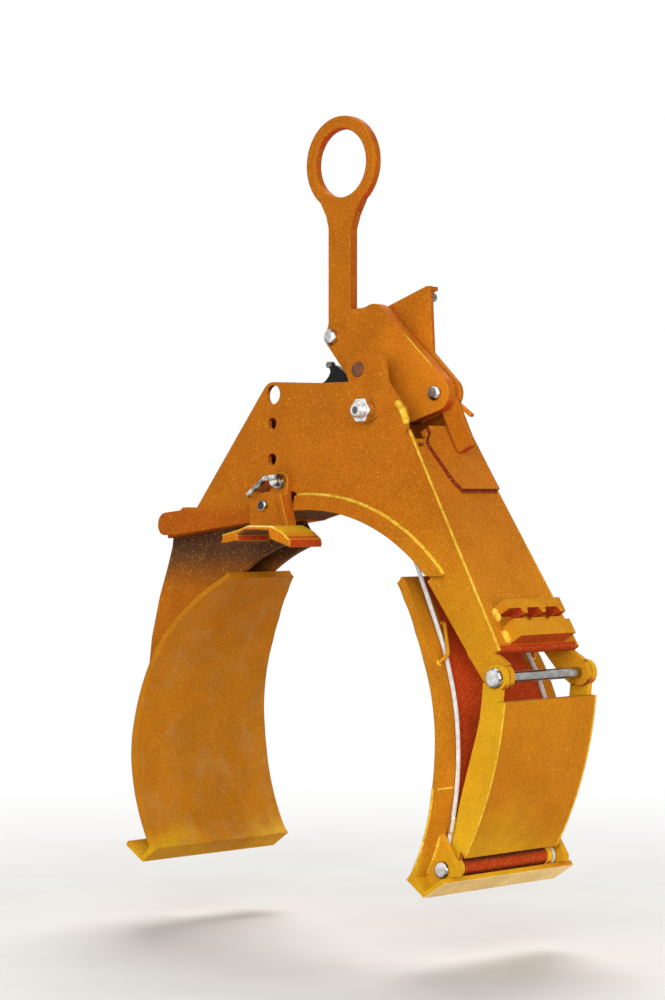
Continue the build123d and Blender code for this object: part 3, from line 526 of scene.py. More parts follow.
def foot_pads(coat, tone):
    """The foot's saddle has painted light: a warmer orange on its low faces that don't look down, and gold in
    patches on its top faces. Its chamfer has a painted glint, faces that look right have a red painted shade
    between their lighter edges, and a red line crosses the slope of the pad."""
    at, normal = coat.at, coat.normal
    low = remap(at["Z"], *SADDLE_Z)
    flat = combine("SUBTRACT", 1.0, coat.rim)
    tone = blend_tones(all_of(low, flat, remap(normal["Z"], -0.55, -0.25, 0.0, 0.80)), tone, WARM_ORANGE)
    patches = remap(grain(coat.place, TOP_LIGHT_PATCHES), 0.35, 0.62, 0.60, 1.0)
    tone = blend_tones(all_of(remap(normal["Z"], 0.72, 0.90), low, patches), tone, BRIGHT_GOLD)
    right = all_of(remap(normal["X"], 0.72, 0.92), flat, remap(low, 0.0, 1.0, 0.35, 1.0))
    line = all_of(remap(normal["X"], 0.45, 0.55), between(at["Z"], *RED_LINE_Z, 1.6 * MM), 0.80)
    tone = blend_tones(combine("MAXIMUM", right, line), tone, DEEP_RED)
    chamfer = all_of(remap(normal["Z"], 0.40, 0.60), remap(normal["Y"], -0.40, -0.60, 0.0, 0.90))
    tone = blend_tones(chamfer, tone, EDGE_GOLD)
    return blend_tones(all_of(chamfer, remap(at["Z"], *GLINT_Z)), tone, GLINT)


def tube_top(coat, tone):
    """Near black painted shade on top of the spacer tube, where the claw's cover shades it."""
    return blend_tones(remap(coat.normal["Z"], 0.35, 0.90, 0.0, 0.80), tone, DEEP_SHADE)


def bead_glints(coat, tone):
    """Noise along a weld bead: amber painted shade lies in its dips, and its crowns have pale painted glints.
    """
    ripples = grain(coat.place, BEAD_RIPPLES)
    tone = blend_tones(remap(ripples, 0.52, 0.38, 0.0, 0.50), tone, AMBER)
    return blend_tones(remap(ripples, 0.57, 0.70, 0.0, 0.55), tone, GLINT)


print("saddle:", round(abs(SADDLE_Z[0]), 3), "m under the eye")

# %% [markdown]
# ## Marks of the jaws
# A red painted shade lies on the back of the right jaw, inside the line of the rope, where the claw's cheek
# shades it. Dust lies on both jaws' faces, and their lips are scraped bright underneath. Masks could be
# painted on each plate, but the jaws are round about the gripping axis, so the distance from it tells face
# from back.

# %% Marks of the jaws
DUST = (0.480, 0.300, 0.1100)
SCRAPED = (0.830, 0.690, 0.4000)
JAW_FACE_R = 0.278
JAW_BACK_R = 0.288
LIP_OUT = (0.522, -0.853)
LIP_AT = 0.2804
ROPE_BOW = 1.30
ABOVE_LUG = (-0.078, -0.105)
LUG_ROOM = 0.016
RED_HALF = (0.1000, 0.0940)
RED_FOOT = (-0.136, -0.126)
DUST_PATCHES = 24.0
SCRAPES = 45.0


def jaw_wear_and_shade(coat, tone):
    """Marks by the distance from the gripping axis: dust on the inner face, a red painted shade behind the
    right plate inside the line of the rope and wider above the lug, and the underside of the lip scraped to
    metal."""
    at = coat.at
    sunk = combine("ADD", at["Z"], GRIP_DROP * MM)
    square = squares(sunk, at["X"])
    raised = combine("MAXIMUM", sunk, 0.0)
    inwards = combine("ADD", size_of(at["Y"]), all_of(raised, raised, ROPE_BOW))
    inwards = combine("SUBTRACT", inwards, remap(sunk, *ABOVE_LUG, 0.0, LUG_ROOM))
    # Painted shade on the right shoe's back, where the cheek shades it.
    behind = all_of(remap(square, (JAW_BACK_R - 1.2 * MM) ** 2, (JAW_BACK_R - 0.4 * MM) ** 2),
                    remap(inwards, *RED_HALF), remap(sunk, *RED_FOOT), past(at["X"], 0.0))
    tone = blend_tones(behind, tone, SHADE_RED)
    inside = remap(square, (JAW_FACE_R + MM) ** 2, JAW_FACE_R**2)
    patches = remap(grain(coat.place, DUST_PATCHES, 6.0, 0.7), 0.44, 0.70, 0.02, 0.36)
    tone = blend_tones(all_of(inside, patches), tone, DUST)
    below = combine("ADD", all_of(size_of(at["X"]), LIP_OUT[0]), all_of(sunk, LIP_OUT[1]))
    scrapes = remap(grain(coat.place, SCRAPES, 4.0), 0.30, 0.55, 0.85, 1.0)
    scraped = all_of(past(below, LIP_AT - MM), scrapes)
    plug(coat.shader, {"Metallic": scraped})
    return blend_tones(scraped, tone, SCRAPED)


print("jaw plates:", round((JAW_BACK_R - JAW_FACE_R) / MM, 1), "mm thick")

# %% [markdown]
# ## One coat for every piece
# Each piece could have a graph of its own written out, but then a change would have to be made in all of
# them. So the coat is built once, as a function, and called with the tones of each piece. The height gives
# the change from orange to gold, and the piece's own normal finds the undersides, which get a darker painted
# shade.

# %% The orange coat
DRIFT = 0.16
DRIFT_SCALE = 7.0
# Size of the patches along the edges, for their wear and painted highlight.
EDGE_WEAR_AND_HIGHLIGHT_SCALE = 55.0
FLECKS = 380.0
SPECKS = 150.0
SHEEN_SCALE = 40.0
PEEL_SCALE = 300.0
PAINT_SHINE = 0.06
PAINT_TINT = (1.0, 0.62, 0.10)


def new_finish(name):
    """A material with only a Principled shader and its output. Returns the material, its tree and the
    shader."""
    finish = bpy.data.materials.new(name)
    finish.use_nodes = True
    return finish, finish.node_tree, finish.node_tree.nodes["Principled BSDF"]


def split(vector):
    """The sockets X, Y and Z of a vector."""
    return node(vector.id_data, "SeparateXYZ", {0: vector}).outputs


def bumped(height, strength, depth, normal=None):
    """The normal, dented by a height of a depth in metres."""
    sockets = {"Height": height, "Strength": strength, "Distance": depth}
    if normal is not None:
        sockets["Normal"] = normal
    return node(height.id_data, "Bump", sockets).outputs["Normal"]


def orange_coat(name, upper, lower, upper_z, lower_z, lean=0.0, edge=0.40, edge_r=1.6, gloss=0.52,
                under=SHADE_RED, mark=None):
    """Sprayed paint. The colour runs from upper to lower between two heights, in metres below the eye, and
    lean takes the lower colour higher up to the right. Faces that look down take the tone under as a painted
    shade, edges turn light over edge_r millimetres as wear and a painted highlight, then comes the piece's
    own mark, and grain and specks lie over all of it."""
    finish, tree, shader = new_finish(name)
    coords = node(tree, "TexCoord").outputs
    place, looks = coords["Object"], coords["Normal"]
    rounded = rounded_edges(tree, edge_r * MM)
    coat = SimpleNamespace(shader=shader, place=place, looks=looks, at=split(place), normal=split(looks),
                           rim=edge_share(rounded))
    drift = all_of(combine("SUBTRACT", grain(place, DRIFT_SCALE), 0.5), DRIFT)
    height = combine("ADD", coat.at["Z"], drift)
    if lean:
        height = combine("SUBTRACT", height, all_of(coat.at["X"], lean))
    tone = blend_tones(remap(height, upper_z, lower_z), upper, lower)
    if under:
        # Painted shade: faces that look down take the darker tone under.
        tone = blend_tones(remap(coat.normal["Z"], -0.30, -0.62, 0.0, 0.92), tone, under)
    # Lighter edges: partly worn paint and partly a painted highlight.
    patchy = remap(grain(place, EDGE_WEAR_AND_HIGHLIGHT_SCALE), 0.30, 0.62, 0.30 * edge, edge)
    tone = blend_tones(all_of(coat.rim, patchy), tone, EDGE_GOLD)
    if mark:
        tone = mark(coat, tone)
    tone = grainy(place, tone)
    tone = blend_tones(remap(grain(place, FLECKS, 2.0), 0.56, 0.72, 0.0, 0.40), tone, SPECK)
    tone = blend_tones(all_of(scattered(place, SPECKS, 0.20, 0.10), 0.65), tone, SPECK)
    sheen = remap(grain(place, SHEEN_SCALE), 0.3, 0.7, gloss, gloss + 0.18)
    peel = bumped(grain(place, PEEL_SCALE, 2.0), 0.20, 0.4 * MM, rounded)
    plug(shader, {"Base Color": tone, "Roughness": sheen, "Normal": peel,
                  "Specular IOR Level": PAINT_SHINE, "Specular Tint": PAINT_TINT})
    return finish


coat_list = [
    # The lever's lower colour is a painted light: it lifts the low lever plate, which the frame's hump
    # shades.
    ("lever", ORANGE, WARM_ORANGE, -0.27, -0.33,
     dict(lean=0.5, edge=0.60, edge_r=2.0, under=DEEP_RED, mark=lever_sides)),
    ("frame", ORANGE, HONEY, -0.50, -0.80, dict(lean=0.35, under=DARK_RED, mark=frame_nose)),
    ("arch_strip", ORANGE, HONEY, -0.50, -0.80, dict(lean=0.35, gloss=0.80, under=DEEP_SHADE)),
    ("left_jaw", ORANGE, ORANGE, -0.45, -0.80, dict(under=BROWN_ORANGE, mark=under_floor)),
    ("arm_cover", ORANGE, AMBER, -0.42, -0.68, dict(edge_r=4.0, under=DEEP_RED, mark=cover_foot)),
    ("flap", ORANGE, ORANGE, -0.36, -0.60, dict(edge=0.10, mark=flap_rim)),
    ("upper_bar", AMBER, HONEY, -0.56, -0.70, dict(mark=bar_teeth)),
    ("lower_bar", AMBER, HONEY, -0.56, -0.70, dict(under=DEEP_RED)),
    ("cheek", GOLD, BRIGHT_GOLD, -0.80, -0.95, {}),
    ("claw", AMBER, GOLD, -0.85, -0.96, dict(under=None)),
    ("jaw", AMBER, GOLD, -0.915, -0.965, dict(edge=0.12, under=None, mark=jaw_wear_and_shade)),
    ("lug", HONEY, GOLD, -0.86, -1.00, {}),
    ("foot", ORANGE, ORANGE, -0.46, -0.51, dict(edge=1.0, edge_r=2.2, under=DEEP_SHADE, mark=foot_pads)),
    ("tube", DEEP_RED, DEEP_RED, -0.90, -0.95, dict(edge=0.1, under=DARK_RED, mark=tube_top)),
    # The beads' bright gold is a painted highlight.
    ("seam", EDGE_GOLD, EDGE_GOLD, -0.40, -0.70, dict(edge=0.1, gloss=0.30, under=None, mark=bead_glints)),
]
coats = {name: orange_coat(name + "_coat", *tones, **more) for name, *tones, more in coat_list}
print("coats:", sorted(coats))

# %% [markdown]
# ## Zinc, steel, black paint and the knob
# Pins, bolts and nuts are zinc plated: bright, a little uneven, with cloudy spangle and fine turning marks.
# Grime and painted shade darken each pin towards its rim, and painted shade darkens a crescent on one side,
# the flat ends of some pins, the claw pin's shaft between the plates and the end of the main bolt. The pivot
# pin is stained, the catch is painted black and dusty, and its knob is worn grey. Metal could be one grey
# value, but then it looks like chrome. Noise in its roughness breaks up the reflections.

# %% Metal and dark finishes
# Dark grey for grime and for painted shade on the pins.
PIN_GRIME_AND_SHADE = (0.060, 0.057, 0.053)
ZINC = ((0.90, 0.89, 0.87), (0.60, 0.59, 0.57), (0.12, 0.30), 90.0)
STEEL = ((0.30, 0.29, 0.28), (0.12, 0.115, 0.11), (0.22, 0.42), 120.0)
STAINED = ((0.26, 0.075, 0.025), (0.14, 0.055, 0.025), (0.40, 0.55), 130.0)
PATCHY = ((0.88, 0.87, 0.85), (0.10, 0.10, 0.105), (0.12, 0.28), 60.0)
BLACK = ((0.008, 0.008, 0.008), (0.020, 0.019, 0.018), (0.55, 0.75), 60.0)
GREY = ((0.30, 0.30, 0.30), (0.16, 0.16, 0.16), (0.35, 0.55), 150.0)
TURNING = 1.1 * MM
GRIME_PATCHES = 130.0
DENTS = 500.0
DULL_SHINE = 0.2


def length_of(vector):
    """Length of a vector."""
    return node(vector.id_data, "VectorMath", {0: vector}, operation="LENGTH").outputs["Value"]


def pin_wear_and_shade(coords, tone, at, rim_r, shade, end=0.0, shaft=None, core=None):
    """Wear and painted shade of a turned pin that stands at x, z in millimetres from the gripping axis. Grime
    and painted shade darken it towards rim_r, painted shade darkens a crescent on the side shade, its flat
    ends take a share end of painted shade, the shaft between the plates is dulled by painted shade, and a
    core in its end is a dark disc of painted shade. Returns the tone and the turning marks, which are rings
    of the distance."""
    place, rim = coords["Object"], rim_r * MM
    x, _, z = from_grip((at[0], 0.0, at[1]))
    sockets = {"Vector": place, "Location": (-x, 0.0, -z), "Scale": (1.0, 0.0, 1.0)}
    centred = node(place.id_data, "Mapping", sockets).outputs["Vector"]
    reach = length_of(centred)
    away = combine("DIVIDE", reach, rim)
    rim_grime_and_shade = all_of(remap(away, 0.58, 0.95), remap(grain(place, GRIME_PATCHES), 0.38, 0.62, 0.10, 0.85))
    crescent = remap(along(centred, (shade[0] / rim, 0.0, shade[1] / rim)), 0.20, 0.80, 0.0, 0.90)
    dark = [combine("MAXIMUM", rim_grime_and_shade, crescent)]
    if end:
        dark.append(remap(size_of(split(coords["Normal"])["Y"]), 0.90, 0.98, 0.0, end))
    if shaft:
        dark.append(remap(size_of(split(place)["Y"]), shaft * MM, (shaft - 4) * MM, 0.0, 0.58))
    if core:
        dark.append(remap(away, core / rim_r, (core - 1) / rim_r, 0.0, 0.90))
    for share in dark:
        tone = blend_tones(share, tone, PIN_GRIME_AND_SHADE)
    return tone, combine("SINE", all_of(reach, 2 * math.pi / TURNING))


def metal(name, recipe=ZINC, metallic=1.0, **pin):
    """A recipe is two greys, the span of the roughness and the scale of the spangle. Clouds of spangle
    mix the greys, and finer noise changes the roughness. Noise dents the surface too, where the wear of a
    pin doesn't."""
    bright, dull, rough, spangle = recipe
    finish, tree, shader = new_finish(name)
    coords = node(tree, "TexCoord").outputs
    place = coords["Object"]
    tone = blend_tones(remap(grain(place, spangle, 4.0), 0.38, 0.62), bright, dull)
    height = grain(place, DENTS, 2.0)
    if pin:
        tone, height = pin_wear_and_shade(coords, tone, **pin)
    gloss = remap(grain(place, spangle * 2.2), 0.3, 0.7, *rough)
    dents = bumped(height, 0.10, 0.3 * MM, rounded_edges(tree, 0.6 * MM))
    plug(shader, {"Base Color": tone, "Roughness": gloss, "Normal": dents, "Metallic": metallic})
    if not metallic:
        plug(shader, {"Specular IOR Level": DULL_SHINE})
    return finish


zinc = metal("zinc_plate")
lock_zinc = metal("lock_pin_zinc", PATCHY)
dark_steel = metal("dark_steel", STEEL)
black = metal("catch_black", BLACK, metallic=0.0)
knob_grey = metal("knob_grey", GREY, metallic=0.0)
# shade points to each pin's crescent of painted shade, end is the share of painted shade on its flat ends,
# and core a dark disc of painted shade.
pins = {
    "lever_bolt": dict(at=(-14.4, 561.7), rim_r=11.0, shade=(-0.6, -0.7), end=0.3),
    "pawl_pin": dict(at=(173.6, 480.5), rim_r=11.0, shade=(-0.3, -0.9), end=0.65),
    "claw_pin": dict(at=(350.0, 114.0), rim_r=13.0, shade=(0.25, -0.75), shaft=82.0),
    "jaw_pin": dict(at=(279.0, -132.0), rim_r=11.0, shade=(0.4, -0.4)),
    "foot_bolt": dict(at=(-80.0, 331.0), rim_r=8.0, shade=(-0.2, -0.2), end=1.0),
    "main_bolt": dict(at=(99.0, 457.7), rim_r=10.0, shade=(0.3, -0.3), core=5.6),
    "pivot_pin": dict(at=(75.0, 513.0), rim_r=10.0, recipe=STAINED, metallic=0.0, shade=(-1.6, -0.4)),
}
pin_finish = {name: metal(name + "_metal", **pin) for name, pin in pins.items()}
plain_metals = [finish.name for finish in (zinc, lock_zinc, dark_steel, black, knob_grey)]
print("metals:", plain_metals, "and", len(pin_finish), "pins")

# %% [markdown]
# ## Rope wire
# The ropes are galvanised: pale, with a dull bloom, and fine wires that wind round every strand. The strands
# are shapes, but single wires are too thin for that, so a wave on the map "lay" draws them, with painted
# shade in the grooves between them.

# %% The wire of the ropes
BLOOM_SCALE = 130.0
WIRES_ROUND = 6.0
WIRES_ALONG = 90.0
WIRE_BRIGHT = (0.92, 0.92, 0.91)
WIRE_BLOOM = (0.78, 0.78, 0.76)
WIRE_GAP_SHADE = (0.34, 0.34, 0.33)


def rope_wire():
    """Galvanised wire: slanting lines on the map "lay" give the wires of each strand, with painted shade in
    the grooves between them, and noise gives the zinc's bloom."""
    finish, tree, shader = new_finish("rope_wire")
    lay = split(node(tree, "UVMap", uv_map="lay").outputs["UV"])
    wires = combine("ADD", all_of(lay["X"], WIRES_ROUND), all_of(lay["Y"], WIRES_ALONG))
    wave = combine("SINE", all_of(wires, 2 * math.pi))
    bloom = remap(grain(node(tree, "TexCoord").outputs["Object"], BLOOM_SCALE), 0.35, 0.65)
    tone = blend_tones(bloom, WIRE_BRIGHT, WIRE_BLOOM)
    # Painted shade in the grooves between the wires.
    tone = blend_tones(remap(wave, -1.0, -0.5, 0.5, 0.0), tone, WIRE_GAP_SHADE)
    plug(shader, {"Base Color": tone, "Roughness": remap(bloom, 0.0, 1.0, 0.34, 0.55), "Metallic": 0.15,
                  "Normal": bumped(wave, 0.5, 0.25 * MM)})
    return finish


wire = rope_wire()
print("wire:", wire.name)

# %% [markdown]
# ## Finish the solids
# Each solid keeps its shape and gets the finish of the piece that it is on the real grab.
# A line of code for each solid would do, but a table from finish to pieces reads like a painter's list,
# and a loop hands the finishes out.

# %% Paint the solids
def paint(piece, finish):
    """The finish becomes the only material of a piece or a solid."""
    piece.data.materials.clear()
    piece.data.materials.append(finish)


painter_list = [
    (coats["lever"], ["lever_plate", "lever_rear_plate", "lever_spacer", "trigger_lip", "trip_tab"]),
    (coats["frame"], ["frame_plate_front", "frame_plate_rear", "arch_rim_front", "arch_rim_rear", "left_web",
                      "left_floor"]),
    (coats["arch_strip"], ["arch_strip"]),
    (coats["left_jaw"], ["left_rib_front", "left_rib_rear", "left_jaw_cover"]),
    (coats["arm_cover"], ["arm_cover", "pawl"]),
    (coats["flap"], ["cover_flap"]),
    (coats["upper_bar"], ["step_bar_upper"]),
    (coats["lower_bar"], ["step_bar_lower"]),
    (coats["cheek"], ["claw_cheek_front", "claw_cheek_rear"]),
    (coats["claw"], ["claw_cover"]),
    (coats["jaw"], ["shoe_plate", "left_jaw_plate"]),
    (coats["lug"], ["shoe_lug_front", "shoe_lug_rear", "rope_keeper_front", "rope_keeper_rear"]),
    (coats["foot"], ["foot_saddle", "foot_upright"]),
    (coats["tube"], ["spacer_tube"]),
    (lock_zinc, ["lock_pin"]),
    (dark_steel, ["rope_pin", "trigger_pin"]),
    (black, ["catch_lever"]),
    (knob_grey, ["catch_knob"]),
]
painter_list += [(finish, [name]) for name, finish in pin_finish.items()]
for finish, names in painter_list:
    for name in names:
        paint(nodes[name], finish)
print("painted:", sum(len(names) for _, names in painter_list), "solids")

# %% [markdown]
# ## The route of the ropes
# Two galvanised ropes, 6 mm thick and about 0.67 m long between their eyes, run from a pin low on the
# lever to the shoe, lie over its back and end on the jaw pin. The route is the list of points that the
# solids follow. Straight lines between them would show as kinks, so a NURBS line follows the route
# smoothly, and the strands are wound on points that are read from that line.

# %% The route of a rope
ROPE_R = 3.0
ROPE_LIE_R = 292.6
ROPE_STEP = 2.0 * MM
rope_pin_at = np.array((45.0, -10.5, 470.0))
jaw_pin_at = np.array((279.0, -97.5, -132.0))
UPPER_EYE_R = 9.6
LOWER_EYE_R = 10.6
lie_turns = np.radians([33.2, 26.5, 17.0, 7.0, -4.0, -16.0])
lie_depth = np.array([-75.0, -83.5, -89.5, -95.0, -97.5, -97.5])
lie_points = np.stack([ROPE_LIE_R * np.cos(lie_turns), lie_depth, ROPE_LIE_R * np.sin(lie_turns)], axis=1)
first_run = unit(lie_points[0] - rope_pin_at)
last_turn = math.radians(160.0)
to_low_eye = LOWER_EYE_R * np.array((math.cos(last_turn), 0.0, math.sin(last_turn)))
rope_route = np.concatenate([
    [rope_pin_at + first_run * UPPER_EYE_R],
    lie_points,
    [jaw_pin_at + to_low_eye],
])


def smooth_line(route, name):
    """Points of a NURBS line of order 3 with the route as its control points, as Blender draws it."""
    curve = bpy.data.curves.new(name, "CURVE")
    curve.dimensions = "3D"
    curve.resolution_u = 24
    spline = curve.splines.new("NURBS")
    spline.points.add(len(route) - 1)
    spline.points.foreach_set("co", np.c_[route, np.ones(len(route))].ravel())
    spline.order_u = 3
    spline.use_endpoint_u = True
    holder = bpy.data.objects.new(name, curve)
    drawn = bpy.data.meshes.new_from_object(holder)
    points = np.zeros(len(drawn.vertices) * 3)
    drawn.vertices.foreach_get("co", points)
    bpy.data.objects.remove(holder)
    bpy.data.curves.remove(curve)
    bpy.data.meshes.remove(drawn)
    return points.reshape(-1, 3)


front_line = evenly(smooth_line(from_grip(rope_route), "rope_line"), ROPE_STEP)
print("rope line:", len(front_line), "points,", round(distance_along(front_line)[-1], 3), "m")

# %% [markdown]
# ## Strands, eyes and sleeves
# Six strands are laid round each other. A plain tube with a striped picture would look flat at the edges,
# so a strand's centre turns round the rope's line once in each lay length, and the strand is a thin tube
# round it. Each end is bent into an eye round its pin and pressed into an oval sleeve.

# %% Strands, eyes and sleeves
STRANDS = 6
STRAND_R = 1.02 * MM
STRAND_AT = ROPE_R * MM - STRAND_R
STRAND_COLUMNS = 8
LAY = 38.0 * MM
EYE_POINTS = 73
SLEEVE_ROWS = 25
SLEEVE_COLUMNS = 32
SLEEVE_ROUND = 0.35
TOP_SLEEVE = (6, 24, 5.4, 3.35)
LOW_SLEEVE = (42, 66, 4.3, 3.9)


def laid_strands(line, start):
    """Strand k: centre = line + STRAND_AT (cos t side + sin t up), t = 2 pi (distance / LAY + k / STRANDS).
    The core is one thin tube on the line itself."""
    side, up = square_to(line, ACROSS)
    lag = distance_along(line) + start
    grids = [tube(line, STRAND_R, STRAND_COLUMNS)]
    for k in range(STRANDS):
        turn = 2 * np.pi * (lag / LAY + k / STRANDS)[:, None]
        centre = line + STRAND_AT * (np.cos(turn) * side + np.sin(turn) * up)
        grids.append(tube(centre, STRAND_R, STRAND_COLUMNS))
    return grids


def laid_eye(centre, radius):
    """Closed eye in the XZ plane: a circle round the pin, with strands that turn a whole number of
    times."""
    turn = np.linspace(0, 2 * np.pi, EYE_POINTS)
    out = np.stack([np.cos(turn), 0 * turn, np.sin(turn)], axis=1)
    grids = []
    for k in range(STRANDS):
        lag = (2 * np.pi * k / STRANDS + 2 * turn)[:, None]
        wound = centre + radius * out + STRAND_AT * (np.cos(lag) * out + np.sin(lag) * ACROSS)
        grids.append(tube(wound, STRAND_R, STRAND_COLUMNS))
    return grids


def pressed_sleeve(line, near, far, wide, thick):
    """Oval sleeve on a line from near to far, in millimetres: half width wide along side and thick along
    up, rounded at both ends. An oval's radius is 1 / sqrt((cos a / wide)^2 + (sin a / thick)^2)."""
    path = points_at(line, np.linspace(near * MM, far * MM, SLEEVE_ROWS))
    turn = full_turn(SLEEVE_COLUMNS)
    oval = MM / np.sqrt((np.cos(turn) / wide) ** 2 + (np.sin(turn) / thick) ** 2)
    share = np.linspace(-1, 1, SLEEVE_ROWS)[:, None]
    return tube(path, oval * (1 - SLEEVE_ROUND * share**6), SLEEVE_COLUMNS)


print("strands:", STRANDS, "with a lay of", LAY, "m")

# %% [markdown]
# ## Hang the ropes
# The free run is cut into thirds, and each third is a piece of its own: the first runs from the lever towards
# the frame, the second on towards the claw, and the last on to the shoe, where the rope lies on its back and
# under its keeper. The eyes and sleeves at the ends ride on the lever and on the shoe.

# %% Wind the ropes
def attach(piece, body, finish):
    """The piece rides on a body and gets its material."""
    paint(piece, finish)
    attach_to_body(piece, body)


reach = distance_along(front_line)
at_touch = int(np.argmin(np.linalg.norm(front_line - from_grip(lie_points[0]), axis=1)))
cut_1, cut_2 = np.searchsorted(reach, reach[at_touch] * np.array((1 / 3, 2 / 3)))
lengths = (("upper", slice(0, cut_1 + 1), "lever", "frame", cut_1),
           ("middle", slice(cut_1, cut_2 + 1), "frame", "claw", cut_2),
           ("lower", slice(cut_2, None), "claw", "shoe", at_touch))
mirrored = np.array((1.0, -1.0, 1.0))
for place, flip in (("front", np.ones(3)), ("rear", mirrored)):
    line = front_line * flip
    ends = (("upper", "top", "lever", rope_pin_at, UPPER_EYE_R, line, TOP_SLEEVE),
            ("lower", "low", "shoe", jaw_pin_at, LOWER_EYE_R, line[::-1], LOW_SLEEVE))
    on_it = {"upper": [], "middle": [], "lower": []}
    for part, end, body, pin_at, eye_r, _, _ in ends:
        eye = piece_from(f"rope_{place}_{end}_eye", laid_eye(from_grip(pin_at) * flip, eye_r * MM))
        attach(eye, body, wire)
        on_it[part].append(eye)
    for part, end, body, _, _, from_end, sleeve_size in ends:
        sleeve = piece_from(f"rope_{place}_{end}_sleeve", [pressed_sleeve(from_end, *sleeve_size)])
        attach(sleeve, body, zinc)
        on_it[part].append(sleeve)
    for part, span, body, next_body, end in lengths:
        stretch = line[span]
        rope = piece_from(f"rope_{place}_{part}", laid_strands(stretch, reach[span][0]))
        paint(rope, wire)
        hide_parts(f"rope_{place}")
        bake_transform(rope)
    print("rope", place, round(reach[-1], 3), "m, touches the shoe at", round(reach[at_touch], 3), "m")

# %% [markdown]
# ## Main nut and its thread
# The tie bolt through the frame carries a hexagon nut on the front boss, and a short threaded end stands
# out of it. A six-sided cylinder lacks the curved chamfers that a real nut shows. Here each column of the
# grid reaches out to the flat, and a cone cuts the corners back, so the chamfer's arcs come out by
# themselves.

# %% Hexagon nuts and threads
NUT_COLUMNS = 144
CHAMFER_SLOPE = math.tan(math.radians(60))
CHAMFER_CIRCLE = 0.965
THREAD_COLUMNS = 60
ROWS_PER_PITCH = 12
BOLT_R = 10.0 * MM
THREAD_DEEP = 0.7 * MM
THREAD_PITCH = 2.5 * MM
TIP_BEVEL = 1.6 * MM
TIP_SUNK = 0.5 * MM
BORE_ROOM = 0.02 * MM


def round_axis(centre, radius, depth, turn):
    """Grid round an axis along Y: centre x + radius cos a, depth, centre z + radius sin a."""
    return np.stack([centre[0] + radius * np.cos(turn), depth, centre[1] + radius * np.sin(turn)], axis=-1)


def hexagon_nut(centre, front, back, corner_r, bore_r):
    """Nut on an axis along Y. Outside: flat / cos(angle to the nearest flat). A cone from a circle on
    each face cuts the corners: their depth = (outside - circle) / CHAMFER_SLOPE. Rows run round the
    section and meet."""
    turn = full_turn(NUT_COLUMNS)
    level = 0 * turn
    flat = corner_r * math.cos(math.pi / 6)
    outside = flat / np.cos(turn % (math.pi / 3) - math.pi / 6)
    circle, bore = level + flat * CHAMFER_CIRCLE, level + bore_r
    cut = (outside - circle) / CHAMFER_SLOPE
    radius = np.stack([bore, circle, outside, outside, circle, bore, bore])
    depth = np.stack([level + front, level + front, front + cut, back - cut,
                      level + back, level + back, level + front])
    return round_axis(centre, radius, depth, turn)


def thread(centre, front, back, root_r, crest_r, pitch):
    """Threaded end on an axis along Y: radius = root + (crest - root) times a triangle wave of
    (distance / pitch + angle / full turn). It fades to the root at both ends, which are closed."""
    turn = full_turn(THREAD_COLUMNS)
    depth = np.linspace(front, back, int((back - front) / pitch * ROWS_PER_PITCH))[:, None]
    phase = (depth / pitch + turn / (2 * np.pi)) % 1.0
    wave = 1 - np.abs(2 * phase - 1)
    fade = np.clip(np.minimum(depth - front, back - depth) / pitch, 0, 1)
    radius = root_r + (crest_r - root_r) * wave * fade
    radius = np.concatenate([0 * turn[None], radius, 0 * turn[None]])
    depth = np.concatenate([[[front]], depth, [[back]]]) + 0 * turn
    return round_axis(centre, radius, depth, turn)


nut_low, nut_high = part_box("main_nut")
nut_axis = ((nut_low.x + nut_high.x) / 2, (nut_low.z + nut_high.z) / 2)
NUT_CORNER_R = (nut_high.x - nut_low.x) / 2
bolt_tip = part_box("main_bolt")[0].y
nut_grid = hexagon_nut(nut_axis, nut_low.y, nut_high.y, NUT_CORNER_R, BOLT_R + BORE_ROOM)
main_nut = piece_from("main_hexagon_nut", [nut_grid], smooth=False)
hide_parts("main_nut")
attach(main_nut, "frame", zinc)
tip_front, tip_back = bolt_tip + TIP_BEVEL, nut_low.y + TIP_SUNK
tip_grid = thread(nut_axis, tip_front, tip_back, BOLT_R, BOLT_R + THREAD_DEEP, THREAD_PITCH)
attach(piece_from("main_bolt_thread", [tip_grid]), "frame", zinc)
print("nut:", round(NUT_CORNER_R * 2 / MM, 1), "mm over corners")

# %% [markdown]
# ## Weld seams
# The frame and the claw are welded from plate. Along the arm's corner and the arch rim the seams show as
# bright golden lines, and their gold is a painted highlight. A texture could draw them, but a seam is a
# rounded bead that shows in outline too. So each seam is a tube along its joint, half sunk in the plates,
# swelling a little with every ripple of the weld.

# %% Seams along the joints
RIPPLE = 3.4 * MM
RIPPLE_SHARE = 0.05
RIPPLE_BOW = 1.6
LUMP = 15.0 * MM
BALL_END = 0.96
FLUSH = 0.5 * MM
FLUSH_HALF = 6.6 * MM
FLUSH_STEP = 6.0 * MM
FLUSH_COLUMNS = 32
SEAM_COLUMNS = 12


def seam(path, radius, across=ACROSS, lumps=0.0):
    """Weld bead: radius (1 + RIPPLE_SHARE sin(2 pi distance / RIPPLE - lag)), and lag = RIPPLE_BOW cos a
    bows the ripples. The radius is in millimetres. A hand-laid bead also swells by a share of lumps once
    in each LUMP. Over the last radius at each end it is rounded off like a ball."""
    radius = radius * MM
    path = evenly(np.asarray(path, float), RIPPLE / 5)
    reach = distance_along(path)
    lag = RIPPLE_BOW * np.cos(full_turn(SEAM_COLUMNS))
    ripple = 1 + RIPPLE_SHARE * np.sin(2 * np.pi * reach[:, None] / RIPPLE - lag)
    ripple = ripple * (1 + lumps * np.sin(2 * np.pi * reach / LUMP))[:, None]
    gone = np.clip(1 - np.minimum(reach, reach[-1] - reach) / radius, 0, 1)
    return tube(path, radius * ripple * np.sqrt(1 - BALL_END * gone[:, None] ** 2), SEAM_COLUMNS, across)


